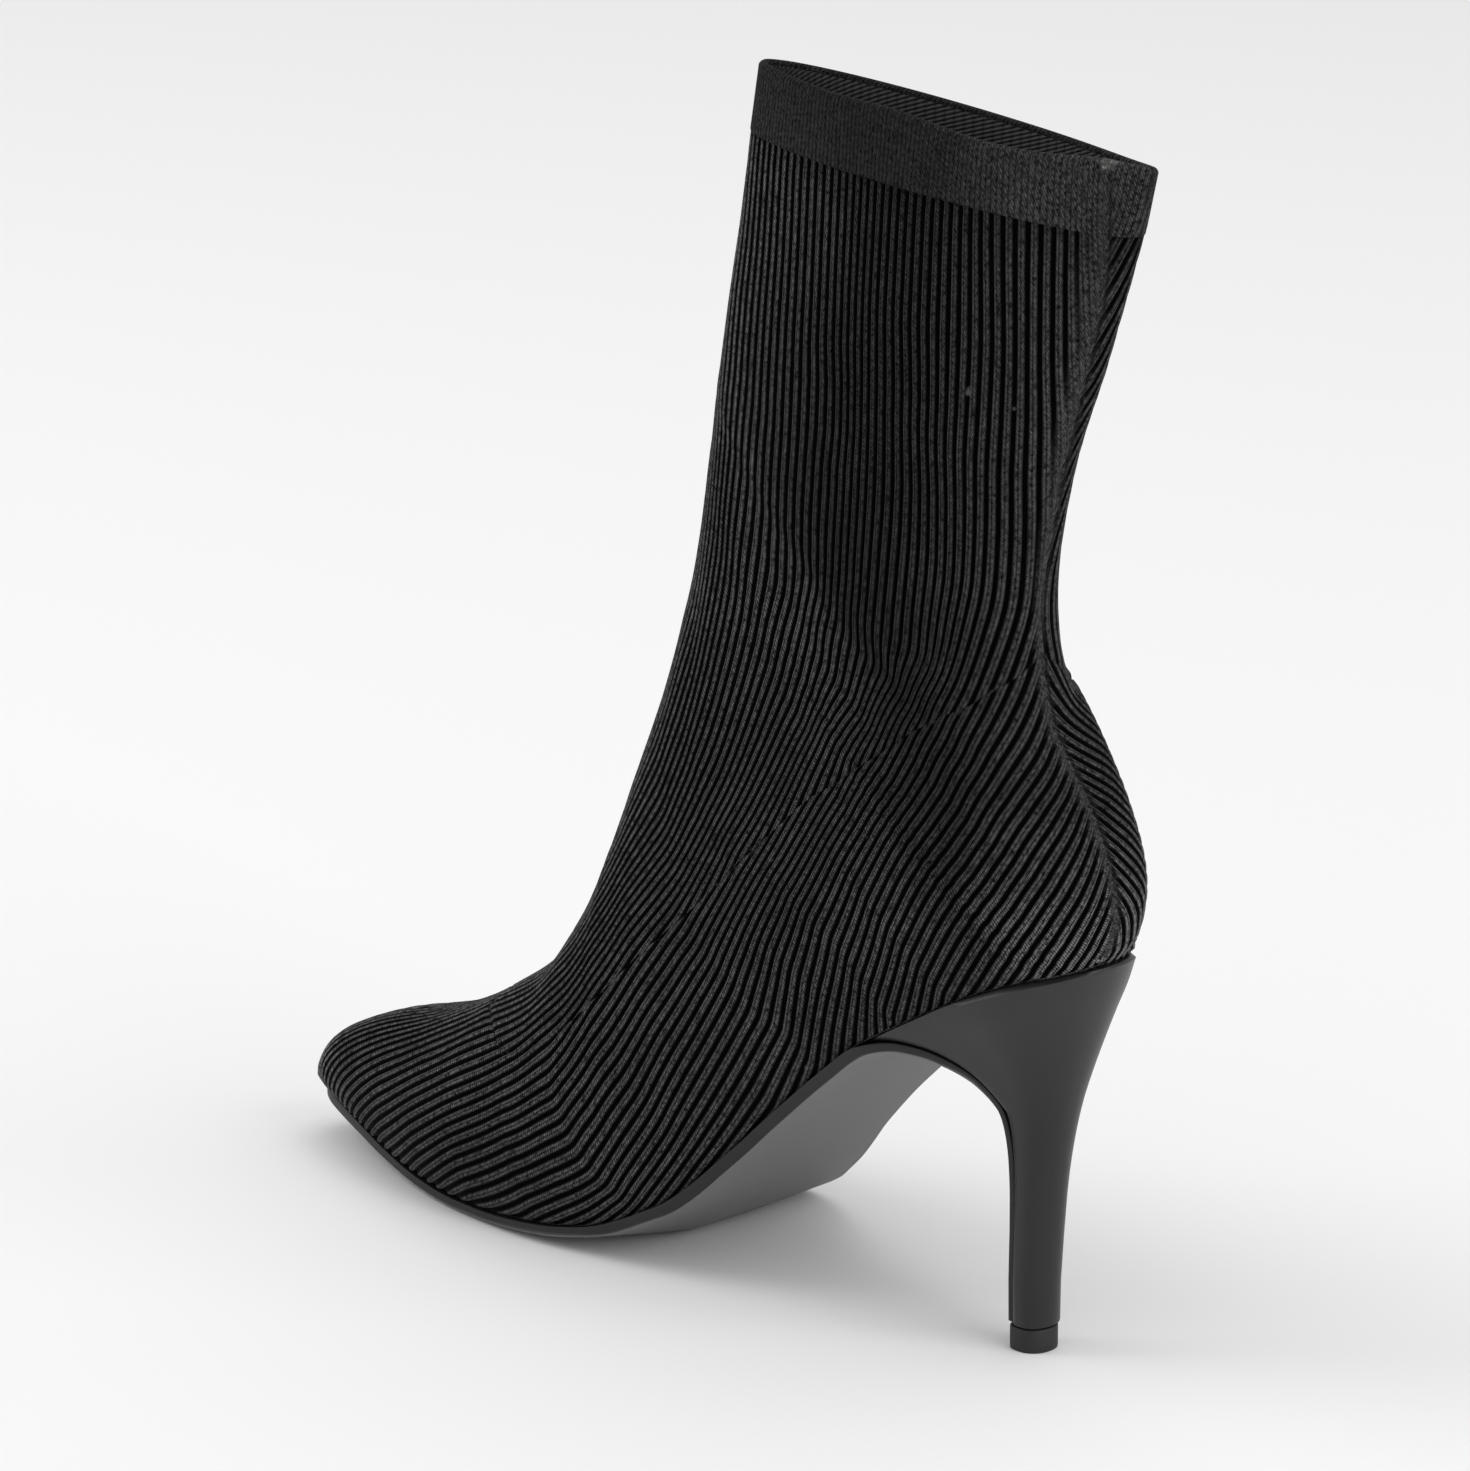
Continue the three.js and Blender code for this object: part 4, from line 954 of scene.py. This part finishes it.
class Finish:
    """A material with one Principled shader, and the one way to make any other node in it."""

    def __init__(self, name, colour, roughness, **constants):
        self.material = bpy.data.materials.new(name)
        self.material.use_nodes = True
        self.tree = self.material.node_tree
        self.tree.nodes.clear()
        self.shader = self.node("ShaderNodeBsdfPrincipled")
        out = self.node("ShaderNodeOutputMaterial")
        self.tree.links.new(self.shader.outputs[0], out.inputs[0])
        self.shader.inputs["Base Color"].default_value = (*colour, 1)
        self.shader.inputs["Roughness"].default_value = roughness
        for socket, value in constants.items():
            self.shader.inputs[socket.replace("_", " ")].default_value = value

    def node(self, kind, settings=None, *values, **named):
        """A node of a kind. Its settings are set first, then its sockets, in order or by name."""
        node = self.tree.nodes.new(kind)
        for key, value in (settings or {}).items():
            setattr(node, key, value)
        pairs = list(enumerate(values)) + [(k.replace("_", " "), v) for k, v in named.items()]
        for socket, value in pairs:
            if isinstance(value, Wire):
                self.tree.links.new(value.socket, node.inputs[socket])
            else:
                node.inputs[socket].default_value = value
        return node

    def wire(self, kind, output=0, settings=None, *values, **named):
        return Wire(self, self.node(kind, settings, *values, **named).outputs[output])

    def number(self, value):
        node = self.node("ShaderNodeValue")
        node.outputs[0].default_value = value
        return Wire(self, node.outputs[0])

    def across(self, map_name, first_scale, second_scale):
        """The two coordinates of one of the piece's own maps, each times its scale."""
        place = self.wire("ShaderNodeUVMap", 0, {"uv_map": map_name})
        node = self.node("ShaderNodeSeparateXYZ", None, place)
        return Wire(self, node.outputs[0]) * first_scale, Wire(self, node.outputs[1]) * second_scale

    def carried(self, value_name):
        """A value that the mesh carries at its points."""
        return self.wire("ShaderNodeAttribute", "Fac", {"attribute_name": value_name})

    def upward(self, kind, output):
        """The third coordinate of a place or a direction."""
        return Wire(self, self.node("ShaderNodeSeparateXYZ", None, self.wire(kind, output)).outputs[2])

    def noise(self, scale, detail=2.0, roughness=0.5):
        """Noise from 0 to 1 on the piece's own coordinates, in metres."""
        place = self.wire("ShaderNodeTexCoord", "Object")
        return self.wire("ShaderNodeTexNoise", "Fac", None, Vector=place, Scale=scale, Detail=detail,
                         Roughness=roughness)

    def mixed(self, share, first, second):
        """From the first colour to the second as share goes from 0 to 1."""
        node = self.node("ShaderNodeMix", {"data_type": "RGBA"})
        for index, value in ((0, share), (6, first), (7, second)):
            if isinstance(value, Wire):
                self.tree.links.new(value.socket, node.inputs[index])
            else:
                node.inputs[index].default_value = (*value, 1)
        return Wire(self, node.outputs[2])

    def colour(self, wire):
        self.tree.links.new(wire.socket, self.shader.inputs["Base Color"])

    def roughness(self, wire):
        self.tree.links.new(wire.socket, self.shader.inputs["Roughness"])

    def bump(self, height, distance, strength=1.0):
        """Relief from a height between 0 and 1, over a distance in metres."""
        node = self.node("ShaderNodeBump", None, Height=height, Distance=distance, Strength=strength)
        self.tree.links.new(node.outputs[0], self.shader.inputs["Normal"])


# %% [markdown]
# The knit finish reads two maps of the cloth. One says how many ribs across and how many millimetres along,
# the other how far it is to the back seam and to the gusset line.
# Each rib carries two columns of stitches with a fine line between them. The valleys between the ribs
# are purl stitches in deep shade, nearly black. Short loose fibres blur everything a little,
# so the cloth has a faint sheen where it turns away.

# %% Ribbed knit
def stitches(across_rib, along_rib, course):
    """Light of the stitches along a column: a rounded bump for every course, slanted across the column,
    so that one stitch overlaps the next like the strands of a rope."""
    step = (along_rib / course + across_rib * SLANT).fraction() - 0.5
    return 1 - (abs(step) * 2) ** 2.0


SLANT = 0.55  # stitches that a strand climbs from the crest of its rib to the valley
RIB_COURSE, PLAIN_COURSE, BACK_COURSE = 0.66, 0.86, 1.1  # millimetres from one stitch to the next
KNIT_LIGHT = 0.37
knit = Finish("ribbed_knit", (0.02, 0.02, 0.022), 0.9, Sheen_Weight=0.05, Sheen_Roughness=0.4,
              Specular_IOR_Level=0.03)
ribs, length = knit.across("knit", *MAP_SCALE)
seam_away, gusset_away = knit.across("seams", SEAM_SCALE, SEAM_SCALE)
ribbed_share, row_number, hem_away = [knit.carried(name) for name in ("ribbed", "row", "hem")]
on_cuff = row_number.ramp(CUFF_ROW - 0.02, CUFF_ROW)
fuzz = knit.noise(2300, 3, 0.7)
patch = knit.noise(34, 3, 0.6)
fine_patch = knit.noise(330, 2, 0.6)
grain = knit.noise(1150, 2, 0.6).ramp(0.3, 0.7)

# 0 on the crest of a rib, 1 in the valley
from_crest = abs(ribs.fraction() * 2 - 1)
ragged = from_crest + (fuzz - 0.5) * 0.22 + (fine_patch - 0.5) * 0.12
crest = 1 - ragged.ramp(0.42, 0.62)
split = from_crest.ramp(0.04, 0.2) * 0.75 + 0.25
rope = stitches(from_crest, length, RIB_COURSE)
plain_column = 1 - abs((ribs * 2).fraction() * 2 - 1) ** 3.0
plain_rope = stitches(plain_column, length, PLAIN_COURSE)
on_rib = crest * split * (0.04 + rope * 1.28)
near_seam = 1 - abs(seam_away).ramp(6.0, 42.0)
# Painted light: the plain cuff is painted brighter towards the back seam, where the light from behind falls
on_plain = (0.2 + plain_column * 0.8) * (0.2 + plain_rope * 0.9) * (0.5 + near_seam * 0.95)
# Painted shade: the ribs just under the cuff's raised edge are darkened
painted_shade_under_cuff = row_number.ramp(CUFF_ROW - 0.45, CUFF_ROW) * (1 - on_cuff)
# Painted light and shade: paler near the back seam over the heel's curve and down the front of the leg, where
# the light falls, darker between them, and a little paler on the toe
on_leg = row_number.ramp(SEAM_ROW, 18.0)
near_front = abs(seam_away).ramp(58.0, 92.0)
painted_shade_mid_side = (1 - near_seam) * (1 - near_front) * row_number.ramp(12.5, 14.5)
painted_light_foot = 1 + near_seam * 1.8 - painted_shade_mid_side * 0.5
painted_light_leg = 0.43 + near_seam * 0.45 + near_front * 0.8
painted_light_by_place = painted_light_foot * (1 - on_leg) + on_leg * painted_light_leg
painted_light_and_shade = (1.12 - row_number.ramp(7.0, 11.0) * 0.12) * painted_light_by_place * (1 - painted_shade_under_cuff * 0.45)
shown = ribbed_share * on_rib * painted_light_and_shade + (1 - ribbed_share) * on_plain * 0.56
light_share = (shown * (0.5 + patch * 0.9) * (0.1 + grain * 1.8) * KNIT_LIGHT).kept()
knit_colour = knit.mixed(light_share, (0.0006, 0.0006, 0.0008), (0.2, 0.2, 0.208))

# The back seam is a twisted cord of thread in a narrow band of rubbed stitches
over_heel = row_number.ramp(SEAM_ROW - 0.1, SEAM_ROW + 0.4)
seam_band = (1 - abs(seam_away).ramp(0.5, 2.6)) * over_heel
seam_twist = abs((length / 2.1).fraction() * 2 - 1)
cord_away = abs(seam_away - 0.3 - seam_twist * 0.9)
seam_cord = (1 - cord_away.ramp(0.3, 0.62)) * over_heel
# Painted shade: the groove beside the cord is coloured nearly black as well as pressed in
groove = (1 - abs(seam_away + 0.9).ramp(0.15, 0.5)) * over_heel
fibres = knit.noise(850, 4, 0.75).ramp(0.5, 0.68)

# Loose thread ends show as light dots along the gusset, specks of lint lie all over, and one pale
# thread is left at the rim. At the heel a few beads of dried glue catch the light.
gusset_band = ((1 - abs(gusset_away).ramp(0.2, 1.0)) * row_number.ramp(6.0, 7.5)
               * (1 - row_number.ramp(19.3, 19.6)))
gusset_dots = knit.noise(420, 2, 0.6).ramp(0.56, 0.7)
lint = knit.noise(190, 1, 0.4).ramp(0.79, 0.83)
rim_thread = (1 - abs(seam_away).ramp(1.0, 2.2)) * row_number.ramp(23.93, 23.97)
glue = knit.noise(520, 1, 0.5).ramp(0.6, 0.66) * (1 - hem_away.ramp(1.3, 2.0)) * row_number.ramp(11.8, 12.6)

# Each lies over the cloth in turn, with a share that covers it and a colour. Along the sole it is shade.
for share, over_colour in (
    (seam_band * fibres * 0.45, (0.075, 0.075, 0.078)),
    (seam_cord * (0.05 + fuzz * 0.35), (0.075, 0.075, 0.078)),
    (groove * 0.6, (0.003, 0.003, 0.003)),
    (gusset_band * gusset_dots * 0.55, (0.1, 0.1, 0.103)),
    (lint * 0.5, (0.2, 0.2, 0.2)),
    (rim_thread * (0.15 + fibres * 0.6), (0.36, 0.35, 0.33)),
    ((1 - hem_away.ramp(0.2, 1.8)) * 0.75, (0.001, 0.001, 0.001)),
    (glue * 0.8, (0.4, 0.4, 0.4)),
):
    knit_colour = knit.mixed(share.kept(), knit_colour, over_colour)
knit.colour(knit_colour)
rib_height = ribbed_share * (crest * 0.5 + crest * split * 0.12 + crest * rope * 0.16)
knit_height = (rib_height + (1 - ribbed_share) * (plain_column * 0.14 + plain_rope * 0.14) + fuzz * 0.08
               + seam_cord * 0.4 - groove * 0.25 + seam_band * fibres * 0.12)
knit.bump(knit_height, 0.0009, 1.0)

inside_knit = Finish("knit_inside", (0.02, 0.02, 0.022), 0.95, Specular_IOR_Level=0.2)
ribs_in, length_in = inside_knit.across("knit", *MAP_SCALE)
back_columns = 1 - abs((ribs_in * 1.5).fraction() * 2 - 1) ** 2.0
back_stitch = back_columns * 0.35 + stitches(ribs_in * 3, length_in, BACK_COURSE) * 0.5
inside_knit.colour(inside_knit.mixed(back_stitch, (0.012, 0.012, 0.012), (0.11, 0.11, 0.113)))
inside_knit.bump(back_stitch + inside_knit.noise(2200) * 0.2, 0.0007, 0.9)

# %% [markdown]
# The sole is a plain satin rubber, a mid grey where it faces the floor and darker along its cut edge.
# The heel cover is smooth and semi-matt, with only a breath of unevenness in its gloss.

# %% Rubber, heel cover and lining
rubber = Finish("sole_rubber", (0.1, 0.1, 0.102), 0.55, Specular_IOR_Level=0.4)
under = (-rubber.upward("ShaderNodeNewGeometry", "Normal")).ramp(0.42, 0.62)
sole_spots = rubber.noise(90, 3, 0.6)
sole_grain = rubber.noise(3200, 2, 0.6)
tread_share = (under * (0.9 + sole_spots * 0.12)).kept()
rubber.colour(rubber.mixed(tread_share, (0.012, 0.012, 0.013), (0.162, 0.162, 0.165)))
rubber.roughness(0.52 + sole_spots * 0.12)
rubber.bump(sole_grain * 0.5 + sole_spots * 0.5, 0.00012, 0.6)

cover = Finish("heel_lacquer", (0.03, 0.03, 0.033), 0.36, Specular_IOR_Level=0.5)
cover_spots = cover.noise(60, 3, 0.55)
cover_grain = cover.noise(2400, 2, 0.6)
stem_shade = 1 - cover.upward("ShaderNodeTexCoord", "Object").ramp(0.05, 0.085)
lacquer = cover.mixed(cover_spots, (0.010, 0.010, 0.0112), (0.014, 0.014, 0.0152))
cover.colour(cover.mixed(stem_shade * 0.8, lacquer, (0.0015, 0.0015, 0.002)))
cover.roughness(0.33 + cover_spots * 0.08 + cover_grain * 0.05)
cover.bump(cover_grain * 0.4 + cover_spots * 0.6, 0.0001, 0.5)


def grainy(name, colour, roughness, noise, dark, light, depth, strength):
    """A finish whose grain shows both in its colour, from dark to light, and in its relief."""
    finish = Finish(name, colour, roughness)
    grain = finish.noise(*noise)
    finish.colour(finish.mixed(grain, dark, light))
    finish.bump(grain, depth, strength)
    return finish


tip = grainy("tip_rubber", (0.02, 0.02, 0.021), 0.6, (1800, 3, 0.65),
             (0.008, 0.008, 0.0085), (0.015, 0.015, 0.016), 0.0001, 0.6)
lining = grainy("sock_lining", (0.03, 0.03, 0.032), 0.8, (1400, 4, 0.6),
                (0.02, 0.02, 0.021), (0.04, 0.04, 0.042), 0.0002, 0.7)

# %% Each piece gets its finish and takes the place of its solid
for piece, finish, node, slot in (
    (knit_upper, knit, "upper", "knit"), (sock_inside, inside_knit, None, "knit"),
    (rubber_sole, rubber, "outsole", "sole_rubber"), (sock_lining, lining, "insole", "sock_lining"),
    (covered_heel, cover, "heel", "heel_lacquer"), (heel_tip, tip, "heel_top_piece", "tip_rubber"),
):
    piece.data.materials.append(finish.material)
    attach(piece, ROOT)
    if node:
        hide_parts(node)

# %% [markdown]
# A dark shoe on white is lit so that its edges stay clear: a wide soft light above, softer ones at the sides,
# and a bright room all round. The floor is white and lies exactly under the heel's tip and the tread.

# %% Floor and light
FLOOR_REACH = 8  # metres to each side
ROOM_LIGHT = 0.53
floor_mesh = bpy.data.meshes.new("studio_floor")
corners = [(x * FLOOR_REACH, y * FLOOR_REACH, 0) for x, y in ((-1, -1), (1, -1), (1, 1), (-1, 1))]
floor_mesh.from_pydata(corners, [], [(0, 1, 2, 3)])
floor = bpy.data.objects.new("studio_floor", floor_mesh)
bpy.context.scene.collection.objects.link(floor)
paper = Finish("white_paper", (0.88, 0.88, 0.88), 0.95, Specular_IOR_Level=0.0)
floor.data.materials.append(paper.material)

world = bpy.data.worlds.new("room")
bpy.context.scene.world = world
world.use_nodes = True
room = world.node_tree.nodes["Background"]
room.inputs["Color"].default_value = (1, 1, 1, 1)
room.inputs["Strength"].default_value = ROOM_LIGHT


def soft_light(name, place, target, size, power):
    """A square light of a size in metres, turned towards a target."""
    light = bpy.data.lights.new(name, "AREA")
    light.size, light.energy = size, power
    lamp = bpy.data.objects.new(name, light)
    back = np.array(place, float) - target
    back /= np.linalg.norm(back)
    left = np.cross((0, 0, 1.0) if abs(back[2]) < 0.99 else (0, 1.0, 0), back)
    left /= np.linalg.norm(left)
    over = np.cross(back, left)
    lamp.matrix_world = Matrix([[left[i], over[i], back[i], place[i]] for i in range(3)] + [[0, 0, 0, 1]])
    bpy.context.scene.collection.objects.link(lamp)


AIM = np.array([0.08, 0, 0.12])
soft_light("above", (0.2, -0.2, 2.6), AIM, 2.4, 20)
soft_light("behind_right", (-2.1, -0.35, 1.35), AIM, 1.8, 27)
soft_light("toe_side", (1.5, 0.9, 1.3), AIM, 1.4, 13)
bpy.context.scene.view_settings.view_transform = "Standard"
